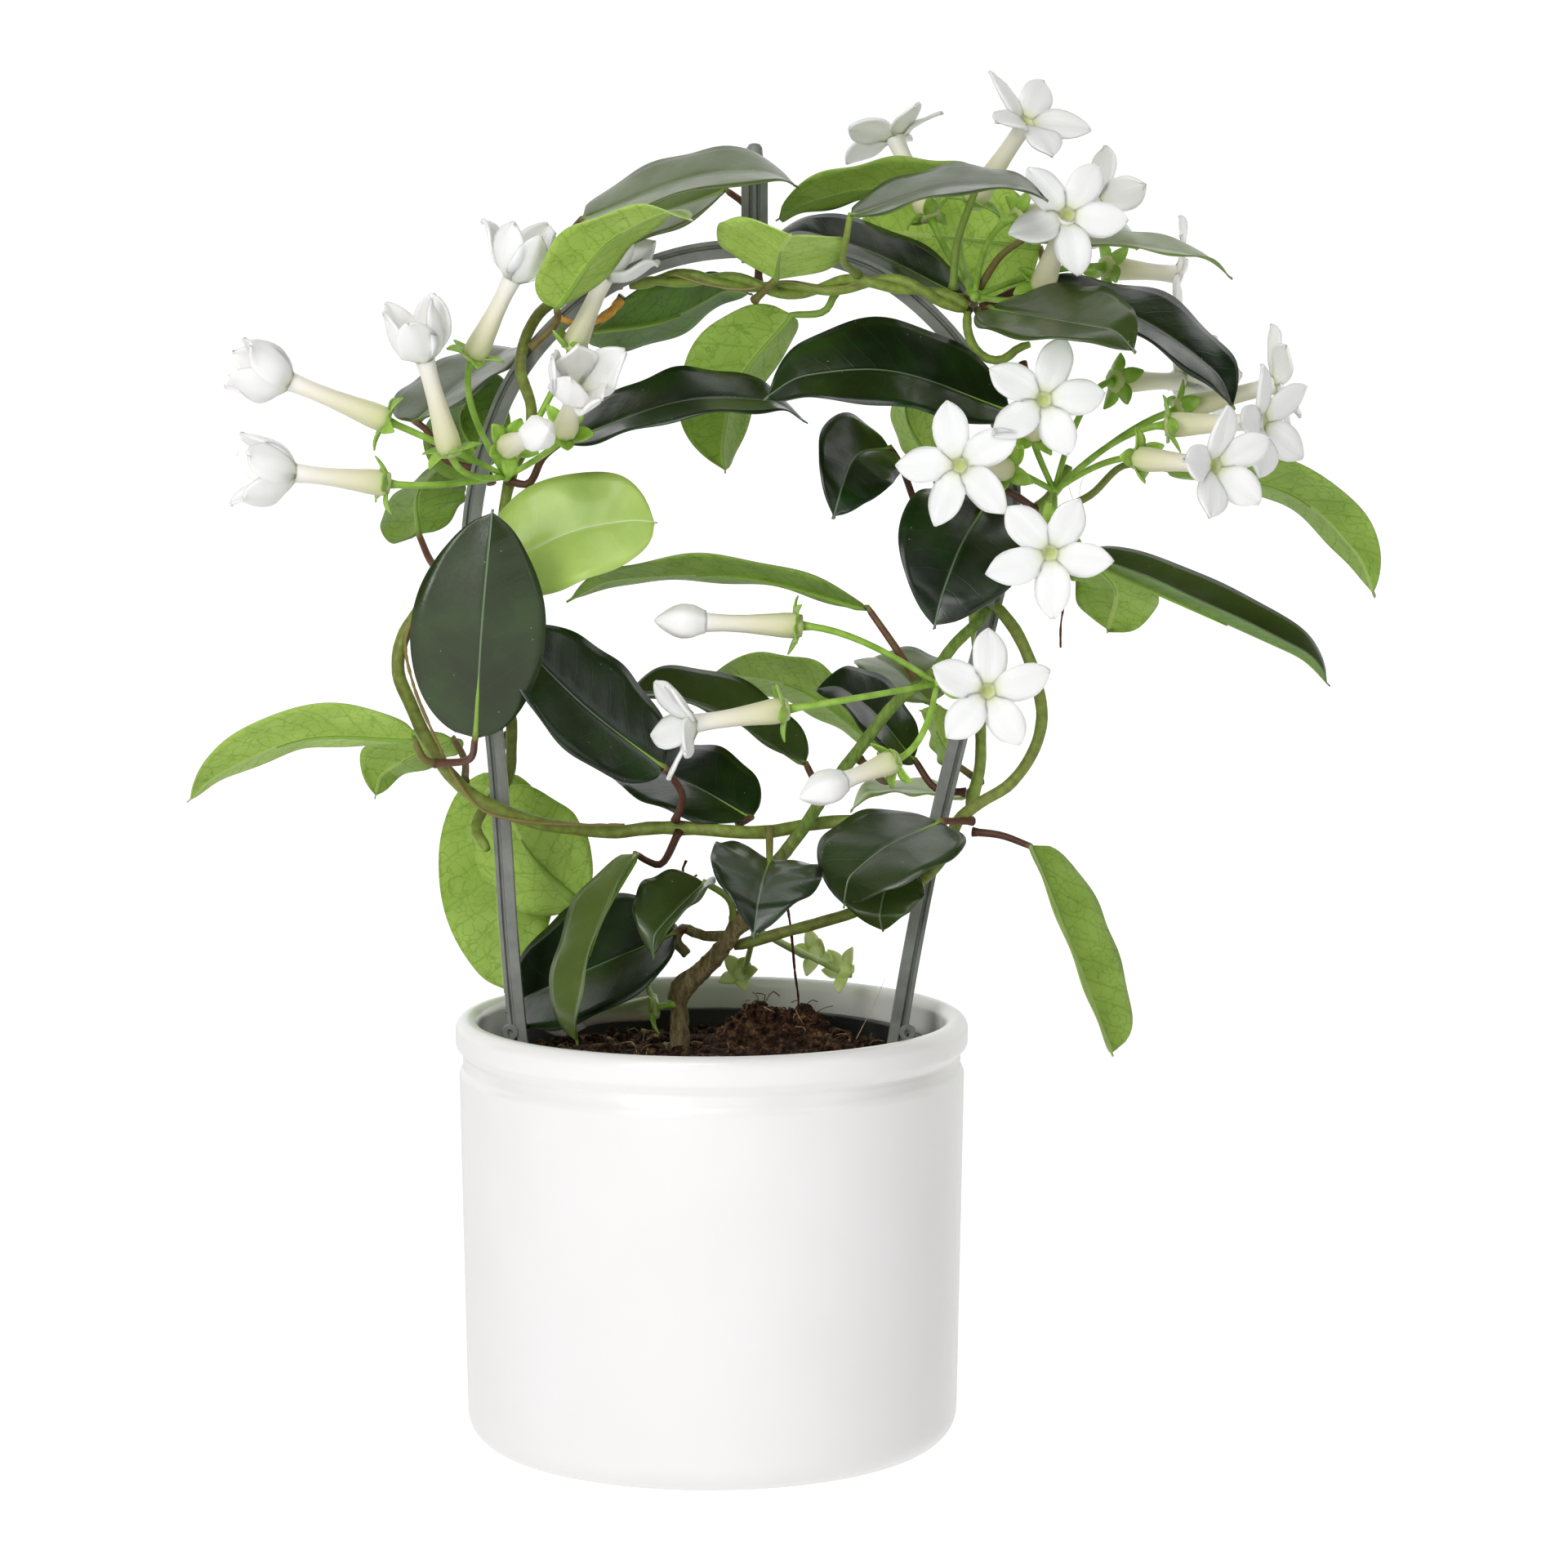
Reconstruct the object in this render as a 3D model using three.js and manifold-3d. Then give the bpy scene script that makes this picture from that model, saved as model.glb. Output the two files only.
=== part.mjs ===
// Madagascar jasmine (Stephanotis floribunda) trained round a plastic hoop, in its grow pot and
// glazed cover pot. Millimetres, +Z up. The origin is the centre of the cover pot's underside and
// +X and -Y are the right and the front of the plant as it is shown on a shelf.
import * as THREE from 'three';
import { mergeVertices } from 'three/addons/utils/BufferGeometryUtils.js';
import Module from 'manifold-3d';

const wasm = await Module();
wasm.setup();

// ---------------------------------------------------------------- driving dimensions
const GAP = 0.3;              // free space between two pieces that touch

const POT_RIM_R = 71;         // outside of the cover pot's rim band
const POT_BODY_R = 70;        // outside below the rim band
const POT_FOOT_R = 68.3;      // outside just above the rounded bottom edge
const POT_HEIGHT = 119;
const POT_WALL = 6.5;
const POT_FLOOR = 6;
const POT_CORNER_R = 9;       // rounded bottom edge
const RIM_HEIGHT = 9;         // rounded band at the top
const GROOVE_DEPTH = 1.3;     // turned groove below that band
const GROOVE_HALF = 3.5;      // half the groove's height
const POT_INNER_TAPER = 1;    // how much further in the inside is at the bottom
const POT_INNER_CORNER = 6;
const POT_SIDES = 36;

const GROW_RIM_R = 60.5;      // outside of the black grow pot's rim
const GROW_FOOT_R = 46;
const GROW_RIM_Z = 111;
const GROW_WALL = 1;
const GROW_LIP = 2;           // how far its rim stands out
const GROW_LIP_HEIGHT = 5;
const INNER_SIDES = 32;
const SOIL_EDGE_Z = 106;
const SOIL_CROWN_Z = 108;
const SOIL_SHOULDER = 0.7;    // where the soil starts to fall to its edge, as a part of its radius
const SOIL_SHOULDER_Z = 107.7;
const SOIL_FLAT = 0.3;        // the level middle, as a part of its radius

const HOOP_WIDTH = 5.0;       // seen from the front
const HOOP_DEPTH = 4.2;
const HOOP_GROOVE = 0.9;
const HOOP_STEPS = 38;        // rings along the whole hoop
const HOOP_ROOT_Z = 60;       // the legs' lower ends, deep in the soil
const LUG_R = 2.3;            // round eye moulded on the front of each leg
const LUG_HOLE_R = 0.8;
const LUG_DEPTH = 1.6;
const LUG_SIDES = 12;
const LUG_Z = 114.3;
const LUG_LEFT = -55.9;
const LUG_RIGHT = 54.2;
const FINIAL_X = 12;          // upright bar on top of the arch
const FINIAL_FOOT_Z = 328;
const FINIAL_TOP_Z = 356;
const FINIAL_NECK_Z = 353;
const FINIAL_WIDTH = 7.2;
const FINIAL_TIP_WIDTH = 4;

const VINE_R = 1.6;
const TRUNK_R = 2.7;
const TRUNK_GAP = 0.5;        // between the trunk and the soil's hole for it
const TRUNK_ROOT_Z = 85;      // where the trunk ends among the roots
const STALK_R = 1.0;          // leaf stalk
const FLOWER_STALK_R = 0.9;
const LEAF_THICKNESS = 0.9;
const LEAF_TIP_HALF = 0.4;    // half the width at the very tip
const LEAF_SIDES = 4;
const VINE_SIDES = 6;
const STALK_STEP = 9;
const VINE_STEP = 8;          // spacing of the rings along a vine

const LOBES = 5;
const LOBE_LENGTH = 15.5;      // from the mouth of the flower tube to a lobe's tip
const LOBE_THICKNESS = 1.2;
const TUBE_BASE_R = 3.8;
const TUBE_NECK_R = 2.15;
const MOUTH_R = 3.4;
const MOUTH_NOTCH_R = 2.7;    // the mouth between two lobes
const LOBE_ROOT_R = 2.4;
const LOBE_MIDDLE = 0.55;     // where a lobe is thickest, as a part of its length
const NOTCH_DEPTH = 0.2;      // where two lobes part, as a part of their length
const TUBE_NECK_PART = 0.72;  // how far along the tube it is narrowest
const SEPAL_R = 5.2;          // reach of the green calyx's five points
const SEPAL_Z = 2;            // how far above the stalk's end they spread
const CALYX_FOOT_R = 1.2;
const CALYX_HEIGHT = 3.5;
const STALK_BEND = 0.35;      // how far back a flower stalk turns into its tube's line
const KNOB_R = 1.45;          // where a cluster's stalks meet
const BUD_LENGTH = 13;
const BUD_R = 3.5;
const BUD_SEAM_R = 3.1;       // in the seams between its folded lobes
const BUD_TIP_R = 0.4;

// The plant is laid out as a gardener draws it: each point is [across, up, back]. The first two are
// read on the upright sheet through the pot's axis, standing EYE away from it, and the third is
// how far behind (+) or before (-) that sheet the point lies, along the same line of sight.
const EYE = new THREE.Vector3(20, -1300, 336);

function at([across, up, back]) {
  const onSheet = new THREE.Vector3(across, 0, up);
  return EYE.clone().lerp(onSheet, 1 + back / -EYE.y);
}

// ---------------------------------------------------------------- geometry helpers
function closed(geometry) {
  geometry.deleteAttribute('normal');
  geometry.deleteAttribute('uv');
  return mergeVertices(geometry, 1e-4);
}

function solid(geometry) {
  const shape = closed(geometry);
  return new wasm.Manifold(new wasm.Mesh({
    numProp: 3,
    vertProperties: new Float32Array(shape.attributes.position.array),
    triVerts: new Uint32Array(shape.index.array),
  }));
}

function geometryOf(body) {
  const mesh = body.getMesh();
  const geometry = new THREE.BufferGeometry();
  geometry.setAttribute('position', new THREE.BufferAttribute(mesh.vertProperties, 3));
  geometry.setIndex(new THREE.BufferAttribute(mesh.triVerts, 1));
  return geometry;
}

// A closed cylinder whose rings are moved to the given places. A ring is { centre, across, up } and
// rim(turn), which gives [across, up, forward] from the ring's centre; height lifts an end's middle.
function skin(rings, sides) {
  const shape = closed(new THREE.CylinderGeometry(1, 1, 1, sides, rings.length - 1));
  const place = shape.attributes.position;
  for (let i = 0; i < place.count; i += 1) {
    const ring = rings[Math.round((0.5 - place.getY(i)) * (rings.length - 1))];
    const onAxis = Math.hypot(place.getX(i), place.getZ(i)) < 0.5;
    const turn = Math.atan2(place.getX(i), place.getZ(i));
    const [a, u, f] = onAxis ? [0, 0, ring.height ?? 0] : ring.rim(turn);
    const spot = ring.centre.clone()
      .addScaledVector(ring.across, a)
      .addScaledVector(ring.up, u)
      .addScaledVector(ring.forward, f);
    place.setXYZ(i, spot.x, spot.y, spot.z);
  }
  return shape;
}

const round = (radius) => (turn) => [radius * Math.sin(turn), radius * Math.cos(turn), 0];

// Frames along a run of points that turn as little as they can, starting from `up` at index `start`.
function frames(points, up, start) {
  const last = points.length - 1;
  const list = points.map((centre, i) => ({
    centre,
    forward: points[Math.min(i + 1, last)].clone().sub(points[Math.max(i - 1, 0)]).normalize(),
  }));
  const settle = (frame, near) => {
    frame.up = near.clone().addScaledVector(frame.forward, -near.dot(frame.forward)).normalize();
    frame.across = frame.up.clone().cross(frame.forward);
  };
  settle(list[start], up);
  for (let i = start + 1; i <= last; i += 1) settle(list[i], list[i - 1].up);
  for (let i = start - 1; i >= 0; i -= 1) settle(list[i], list[i + 1].up);
  return list;
}

// The points of a smooth curve through `stops`, about `step` apart.
function alongCurve(stops, step) {
  const curve = new THREE.CatmullRomCurve3(stops, false, 'centripetal');
  return curve.getSpacedPoints(Math.max(2, Math.round(curve.getLength() / step)));
}

const sideways = new THREE.Vector3(0, -1, 0);
const skyward = new THREE.Vector3(0, 0, 1);

function stem(stops, startRadius, endRadius, sides = VINE_SIDES, step = VINE_STEP) {
  const points = alongCurve(stops, step);
  const rings = frames(points, sideways, 0);
  rings.forEach((ring, i) => {
    const part = i / (rings.length - 1);
    ring.rim = round(startRadius + (endRadius - startRadius) * part);
  });
  return skin(rings, sides);
}

// ---------------------------------------------------------------- pots and soil
function arcPoints(centreR, centreZ, radius, from, to, count) {
  return Array.from({ length: count + 1 }, (_, i) => {
    const angle = from + ((to - from) * i) / count;
    return new THREE.Vector2(centreR + radius * Math.cos(angle), centreZ + radius * Math.sin(angle));
  });
}

function turned(profile, sides) {
  return new THREE.LatheGeometry(profile, sides).rotateX(Math.PI / 2);
}

function coverPot() {
  const rimRound = POT_WALL / 2;
  const grooveZ = POT_HEIGHT - RIM_HEIGHT - GROOVE_HALF / 2;
  const innerFootR = POT_RIM_R - POT_WALL - POT_INNER_TAPER;
  const profile = [
    new THREE.Vector2(0, 0),
    ...arcPoints(POT_FOOT_R - POT_CORNER_R, POT_CORNER_R, POT_CORNER_R, -Math.PI / 2, 0, 3),
    new THREE.Vector2(POT_BODY_R, grooveZ - GROOVE_HALF),
    new THREE.Vector2(POT_BODY_R - GROOVE_DEPTH, grooveZ),
    new THREE.Vector2(POT_RIM_R, grooveZ + GROOVE_HALF),
    ...arcPoints(POT_RIM_R - rimRound, POT_HEIGHT - rimRound, rimRound, 0, Math.PI, 6),
    new THREE.Vector2(innerFootR, POT_FLOOR + POT_INNER_CORNER),
    new THREE.Vector2(innerFootR - POT_INNER_CORNER, POT_FLOOR),
    new THREE.Vector2(0, POT_FLOOR),
  ];
  return turned(profile, POT_SIDES);
}

function growPot() {
  const floorZ = POT_FLOOR + GAP;
  const lipR = GROW_RIM_R - GROW_LIP;
  const lipZ = GROW_RIM_Z - GROW_LIP_HEIGHT;
  const profile = [
    [0, floorZ], [GROW_FOOT_R, floorZ], [lipR, lipZ], [GROW_RIM_R, lipZ], [GROW_RIM_R, GROW_RIM_Z],
    [lipR - GROW_WALL, GROW_RIM_Z], [GROW_FOOT_R - GROW_WALL, floorZ + GROW_WALL], [0, floorZ + GROW_WALL],
  ];
  return turned(profile.map(([r, z]) => new THREE.Vector2(r, z)), INNER_SIDES);
}

function soilBlock() {
  const footZ = POT_FLOOR + GROW_WALL + 2 * GAP;
  const footR = GROW_FOOT_R - GROW_WALL - GAP;
  const slope = (GROW_RIM_R - GROW_LIP - GROW_FOOT_R) / (GROW_RIM_Z - POT_FLOOR);
  const edgeR = footR + slope * (SOIL_EDGE_Z - footZ) - GAP;
  const profile = [
    [0, footZ], [footR, footZ], [edgeR, SOIL_EDGE_Z], [edgeR * SOIL_SHOULDER, SOIL_SHOULDER_Z],
    [edgeR * SOIL_FLAT, SOIL_CROWN_Z], [0, SOIL_CROWN_Z],
  ];
  return turned(profile.map(([r, z]) => new THREE.Vector2(r, z)), INNER_SIDES);
}

// ---------------------------------------------------------------- hoop
// The middle line of the moulded hoop, left leg to right leg, [across, up] in the plane of the pot's axis.
const HOOP_LINE = [
  [-46, HOOP_ROOT_Z], [-53, 107], [-56, 140], [-58, 174], [-60, 199], [-63, 219], [-66, 241], [-65, 260],
  [-61, 277], [-55, 292], [-45, 306], [-28, 320], [-8, 328], [12, 330], [31, 328], [47, 322], [62, 310],
  [74, 294], [81, 275], [82, 255], [77, 232], [68, 196], [61.5, 168], [55.5, 137], [50.5, 107],
  [43, HOOP_ROOT_Z],
];

// Section of the moulding: across the depth first, then across the width, with a groove on both faces.
function hoopSection(spare) {
  const depth = HOOP_DEPTH / 2 + spare;
  const width = HOOP_WIDTH / 2 + spare;
  const floor = spare > 0 ? depth : depth - HOOP_GROOVE;
  const shape = new THREE.Shape();
  [
    [depth, -width], [depth, -width / 3], [floor, 0], [depth, width / 3], [depth, width],
    [-depth, width], [-depth, width / 3], [-floor, 0], [-depth, -width / 3], [-depth, -width],
  ].forEach(([x, y], i) => (i ? shape.lineTo(x, y) : shape.moveTo(x, y)));
  return shape;
}

function hoopBar(spare) {
  const curve = new THREE.CatmullRomCurve3(HOOP_LINE.map(([x, z]) => new THREE.Vector3(x, 0, z)));
  return new THREE.ExtrudeGeometry(hoopSection(spare), { steps: HOOP_STEPS, extrudePath: curve });
}

// An upright plate from its outline [across, up], its middle `back` of the hoop's own plane.
function plate(shape, depth, back) {
  const block = new THREE.ExtrudeGeometry(shape, { depth, bevelEnabled: false, curveSegments: LUG_SIDES });
  return block.rotateX(Math.PI / 2).translate(0, depth / 2 + back, 0);
}

// A round eye that stands proud of the leg's front face and reaches half its depth into the leg.
function lug(across) {
  const shape = new THREE.Shape().absarc(across, LUG_Z, LUG_R, 0, Math.PI * 2);
  shape.holes = [new THREE.Path().absarc(across, LUG_Z, LUG_HOLE_R, 0, Math.PI * 2)];
  return plate(shape, LUG_DEPTH, -HOOP_DEPTH / 2);
}

function finial() {
  const half = FINIAL_WIDTH / 2;
  const tip = FINIAL_TIP_WIDTH / 2;
  const shape = new THREE.Shape([
    new THREE.Vector2(FINIAL_X - half, FINIAL_FOOT_Z),
    new THREE.Vector2(FINIAL_X + half, FINIAL_FOOT_Z),
    new THREE.Vector2(FINIAL_X + half, FINIAL_NECK_Z),
    new THREE.Vector2(FINIAL_X + tip, FINIAL_TOP_Z),
    new THREE.Vector2(FINIAL_X - tip, FINIAL_TOP_Z),
    new THREE.Vector2(FINIAL_X - half, FINIAL_NECK_Z),
  ]);
  return plate(shape, HOOP_DEPTH, 0);
}

function supportHoop() {
  const parts = [finial(), lug(LUG_LEFT), lug(LUG_RIGHT)].map(solid);
  return geometryOf(parts.reduce((whole, next) => whole.add(next), solid(hoopBar(0))));
}

// ---------------------------------------------------------------- trunk and vines
const TRUNK_LINE = [
  [-9, TRUNK_ROOT_Z, 8], [-9, 119, 8], [-9, 125, 7], [0, 134, 4], [8, 145, 0], [15, 157, 2], [26, 172, -2],
  [31, 180, -4], [40, 192, -4], [51, 206, -4], [60, 213, -6], [67, 222, -8], [73, 228, -8], [76, 232, -7],
];
const LOW_BRANCH = [[5, 141, 3], [-2, 141, 6], [-8, 143, 6], [-10, 140, 6], [-7, 136, 7]];
const HANGING_SHOOT = [
  [70, 313, -8], [70, 308, -8], [72, 303, -8], [76, 300, -8], [80, 300, -8], [84, 303, -8], [87, 304, -9],
];

// Each vine: its main run, then the runs that grow out of it.
const VINES = {
  trunk: [TRUNK_LINE, LOW_BRANCH],
  left_loop: [[[-61, 251, -8], [-68, 246, -9], [-76, 237, -11], [-81, 230, -14], [-85, 223, -16],
    [-86, 214, -16], [-83, 206, -15], [-80, 199, -13], [-76, 192, -11], [-73, 187, -9], [-67, 181, -8],
    [-60, 177, -8], [-50, 173, -6], [-39, 171, -2], [-27, 170, 0], [-16, 171, 0], [-5, 171, -1],
    [6, 170, -3], [16, 170, 0], [27, 172, 4], [38, 173, 3], [46, 172, 1]]],
  left_shoot: [[[-55, 203, 8], [-55, 195, 8], [-56, 185, 8], [-60, 180, 9], [-63, 176, 6], [-65, 171, 0],
    [-62, 165, -5]]],
  left_climber: [[[-57, 255, -6], [-56, 263, -5], [-54, 270, -4], [-50, 278, -4], [-49, 287, -5],
    [-52, 297, -6], [-51, 304, -5], [-47, 312, 0], [-40, 317, 5], [-31, 320, 6], [-24, 320, 5]]],
  top_vine: [[[-22, 320, 5], [-9, 322, 2], [7, 321, 0], [18, 319, -1], [29, 319, -2], [42, 321, -6],
    [53, 320, -8], [62, 317, -8], [70, 314, -8]], HANGING_SHOOT],
  right_inner: [[[71, 176, 8], [74, 188, 8], [74, 201, 8], [73, 222, 8], [72, 235, 8], [75, 244, 8],
    [83, 253, 6], [94, 264, -2], [98, 271, -2]]],
  right_loop: [[[78, 233, -12], [84, 225, -12], [89, 213, -10], [91, 201, -9], [88, 191, -8], [82, 183, -8],
    [74, 178, -8], [68, 173, -6], [64, 163, -7], [56, 155, -5], [43, 149, 0], [31, 145, 2], [20, 142, 4],
    [13, 140, 5]]],
};

// ---------------------------------------------------------------- leaves
// Each leaf: stalk stops from the stem outwards, then base, middle and tip of its midrib, the width of
// the blade, facing, fold and tone. Facing 0 shows the upper side to the front, 90 turns it to the sky
// and 180 shows the underside. Fold is how far each half rises from the midrib, in degrees. Tone goes
// from 0, an old dark leaf, to 1, a young light one. Leaves that share a joint are one piece.
const LEAVES = {
  top_back: [[[[13, 321, 3], [13, 331, 7], [10, 341, 10]], [4, 346, 6], [-16, 339, 12], [-40, 333, 18],
    30, 60, 6, 0.3]],
  top_front: [[[[-38, 318, 5], [-39, 327, -4], [-38, 334, -20]], [-35, 338, -30], [0, 352, -34],
    [23, 349, -28], 32, 71, 6, 0.2]],
  upper_left: [[[[-49, 303, -8], [-42, 310, -10]], [-42, 314, -16], [-28, 332, -34], [-6, 343, -54], 30,
    118, 10, 0.9]],
  under_top_vine: [[[[-24, 317, 8], [-29, 311, 10]], [-33, 308, 12], [-12, 311, 22], [9, 322, 26], 34,
    118, 8, 0]],
  young_centre: [[[[12, 316, -1], [15, 319, -6]], [18, 322, -10], [19, 329, -28], [22, 334, -46], 36,
    171, 14, 1]],
  top_right_green: [[[[66, 319, -6], [67, 331, -8], [71, 343, -6]], [73, 348, -4], [44, 347, -6],
    [17, 340, -8], 33, 106, 6, 0.6]],
  top_right_grey: [[[[40, 323, -8], [36, 327, -28], [37, 333, -38]], [38, 339, -42], [65, 347, -42],
    [92, 347, -38], 32, 77, 6, 0.1]],
  top_right_veined: [[[[73, 313, -4], [81, 315, 14], [90, 324, 28]], [90, 330, 36], [64, 333, 38],
    [38, 335, 34], 38, 178, 6, 0.8]],
  dark_twisted: [[[[70, 313, -4], [72, 315, 5]], [69, 317, 12], [42, 330, 18], [17, 337, 18], 28, 62, 4,
    0]],
  right_node_pair: [
    [[[75, 313, -13]], [76, 314, -15], [93, 311, -32], [116, 307, -50], 35, 62, 8, 0.1],
    [[[75, 313, -13], [77, 310, -6]], [80, 311, 0], [96, 317, 6], [112, 311, 10], 26, 74, 8, 0.9],
  ],
  right_glossy: [[[[74, 314, -4], [84, 319, 2]], [92, 321, 4], [121, 309, -8], [146, 290, -16], 33, 64,
    8, 0]],
  right_top_thin: [[[[73, 319, -7], [79, 328, -6]], [86, 333, -4], [116, 331, -2], [143, 326, 2], 30,
    82, 6, 0.4]],
  dark_centre: [[[[85, 299, -9], [88, 290, -14]], [82, 286, -18], [48, 297, -26], [14, 294, -28], 37,
    52, 10, 0]],
  hanging_folded: [[[[34, 318, 4], [31, 313, 4]], [22, 312, 6], [7, 293, 12], [2, 269, 8], 31, 148, 30,
    0.6]],
  long_dark: [[[[-56, 267, -7], [-50, 266, -8], [-46, 273, -10]], [-40, 278, -14], [-6, 289, -18],
    [27, 288, -10], 33, 67, 8, 0]],
  small_pair: [
    [[[69, 240, 10], [58, 256, 11], [52, 271, 12]], [49, 276, 12], [40, 274, -4], [34, 260, -24], 25, 8,
      12, 0],
    [[[69, 240, 10], [64, 258, 13]], [60, 273, 16], [54, 285, 20], [56, 302, 26], 24, 118, 8, 0.8],
  ],
  left_grey: [[[[-60, 269, 8], [-73, 273, 8], [-78, 281, 8]], [-80, 284, 8], [-68, 294, 24],
    [-51, 306, 42], 30, 68, 10, 0.1]],
  left_back: [[[[-60, 266, 12]], [-61, 270, 14], [-68, 284, 28], [-59, 297, 40], 28, 150, 8, 0.3]],
  left_folded: [[[[-73, 241, -7], [-77, 245, 4]], [-80, 252, 10], [-80, 263, 24], [-72, 273, 38], 27,
    142, 16, 0.3]],
  left_bright: [[[[-59, 248, -12]], [-60, 242, -15], [-38, 253, -18], [-15, 257, -20], 31, 22, 8, 1]],
  left_node_pair: [
    [[[-76, 189, -14], [-67, 190, -22]], [-65, 196, -34], [-63, 227, -46], [-60, 259, -40], 37, 6, -12,
      0.04],
    [[[-76, 189, -14], [-79, 190, -16]], [-82, 196, -18], [-113, 196, -24], [-146, 181, -26], 33, 115,
      10, 0.8],
  ],
  long_underside: [[[[56, 213, -8], [50, 222, -10]], [43, 232, -8], [7, 241, -6], [-40, 239, -2], 32,
    105, 6, 0.4]],
  right_dark: [[[[89, 259, 0], [80, 264, -6]], [75, 260, -7], [68, 248, -28], [61, 229, -44], 37, 6, 12,
    0]],
  far_right_veined: [[[[103, 263, 4], [113, 271, 0]], [125, 270, -2], [160, 263, 2], [185, 238, 8], 31,
    112, 10, 0.5]],
  far_right_long: [[[[96, 256, -9]], [102, 246, -14], [137, 230, -20], [172, 214, -20], 27, 76, 28,
    0.1]],
  right_pale_low: [[[[91, 258, 4], [99, 252, 7]], [103, 246, 8], [111, 237, 22], [109, 226, 36], 28,
    150, 10, 0.7]],
  left_low_pale: [[[[-68, 184, -5], [-68, 190, 4]], [-71, 196, 8], [-83, 191, 16], [-94, 184, 26], 26,
    128, 10, 0.6]],
  mid_dark: [[[[-10, 173, -4], [-8, 180, -8]], [-13, 188, -14], [-35, 205, -21], [-57, 227, -27], 36,
    46, 8, 0]],
  low_dark: [[[[7, 172, 2]], [11, 174, 4], [-7, 184, 14], [-26, 190, 28], 34, 58, 8, 0]],
  mid_grey: [[[[28, 175, 1], [29, 182, 10]], [26, 189, 14], [2, 204, 18], [-24, 211, 14], 27, 68, 22,
    0.1]],
  mid_green: [[[[41, 190, 0], [48, 184, 16], [50, 188, 30]], [46, 195, 36], [24, 210, 42],
    [-3, 215, 40], 33, 118, 6, 0.6]],
  mid_textured: [[[[70, 181, 9], [62, 182, 12]], [56, 190, 16], [44, 204, 12], [31, 213, 8], 27, 62, 8,
    0]],
  mid_back_grey: [[[[72, 201, 11], [66, 202, 24]], [60, 206, 30], [51, 215, 40], [42, 220, 50], 28, 58,
    8, 0.3]],
  mid_back_pair: [
    [[[74, 184, 13]], [67, 189, 18], [63, 197, 22], [60, 205, 26], 20, 118, 8, 0.8],
    [[[74, 184, 13]], [70, 180, 24], [54, 182, 26], [38, 181, 24], 24, 86, 4, 0.7],
  ],
  left_low_veined: [[[[-56, 197, 11], [-58, 192, 18]], [-58, 187, 30], [-59, 156, 40], [-57, 125, 35],
    34, 178, 6, 0.7]],
  left_low_back: [[[[-10, 143, 10], [-24, 142, 17], [-33, 146, 23]], [-37, 150, 25], [-50, 164, 26],
    [-60, 184, 26], 34, 164, 6, 0.7]],
  left_low_narrow: [[[[-9, 170, -2], [-14, 161, -10], [-18, 162, -14]], [-21, 164, -18],
    [-32, 143, -28], [-40, 111, -35], 27, 68, 20, 0.08]],
  left_low_big: [[[[-8, 143, 5]], [-10, 142, 2], [-31, 133, 5], [-58, 120, 16], 44, 44, 6, 0]],
  low_small: [[[[4, 146, -3], [4, 151, -6]], [-2, 156, -10], [-10, 148, -20], [-18, 139, -30], 25, 52,
    34, 0.08]],
  low_heart: [[[[16, 171, -3]], [16, 162, -12], [14, 156, -32], [12, 146, -50], 32, 6, 18, 0]],
  low_right: [[[[70, 174, -10]], [63, 173, -14], [48, 166, -26], [34, 154, -36], 40, 60, 2, 0]],
  low_right_under: [[[[55, 157, -9]], [52, 161, -10], [48, 154, -14], [46, 144, -19], 25, 25, 8, 0.1]],
  right_hanging: [[[[72, 170, -4], [80, 169, -6]], [88, 166, -8], [98, 141, -16], [111, 107, -20], 34,
    -113, -20, 0.5]],
};
const BLADE_STATIONS = [0, 0.08, 0.22, 0.42, 0.62, 0.8, 0.92, 1];

// Half the blade's width at a place along the midrib, as a part of its greatest half width.
const bladeProfile = (part) => Math.sin(Math.PI * part ** 0.8) ** 0.7;

function leaf([stalk, base, middle, tip, width, facing, fold], free) {
  const rib = new THREE.CatmullRomCurve3([base, middle, tip].map(at), false, 'centripetal');
  const stalkStops = [...stalk, base].map(at);
  const away = stalkStops[1].clone().sub(stalkStops[0]).normalize();
  if (free) stalkStops[0].addScaledVector(away, VINE_R + STALK_R);
  const stalkPoints = alongCurve(stalkStops, STALK_STEP).slice(0, -1);
  const points = [...stalkPoints, ...BLADE_STATIONS.map((part) => rib.getPointAt(part))];

  const chord = rib.getPoint(1).sub(rib.getPoint(0)).normalize();
  const front = sideways.clone().addScaledVector(chord, -sideways.dot(chord)).normalize();
  const sky = chord.clone().cross(front);
  if (sky.z < -0.3 || (Math.abs(sky.z) <= 0.3 && sky.x < 0)) sky.negate();
  const turn = THREE.MathUtils.degToRad(facing);
  const upper = front.multiplyScalar(Math.cos(turn)).addScaledVector(sky, Math.sin(turn));

  const rings = frames(points, upper, stalkPoints.length + 3);
  const foldTurn = THREE.MathUtils.degToRad(fold);
  rings.forEach((ring, i) => {
    const part = BLADE_STATIONS[i - stalkPoints.length];
    const half = part > 0 ? Math.max(LEAF_TIP_HALF, (width / 2) * bladeProfile(part)) : STALK_R;
    const thick = part > 0 ? LEAF_THICKNESS / 2 : STALK_R;
    const lift = part > 0 ? foldTurn : 0;
    ring.rim = (angle) => {
      const reach = Math.sin(angle) * half;
      return [reach * Math.cos(lift), Math.cos(angle) * thick + Math.abs(reach) * Math.sin(lift), 0];
    };
  });
  return skin(rings, LEAF_SIDES);
}

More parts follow.
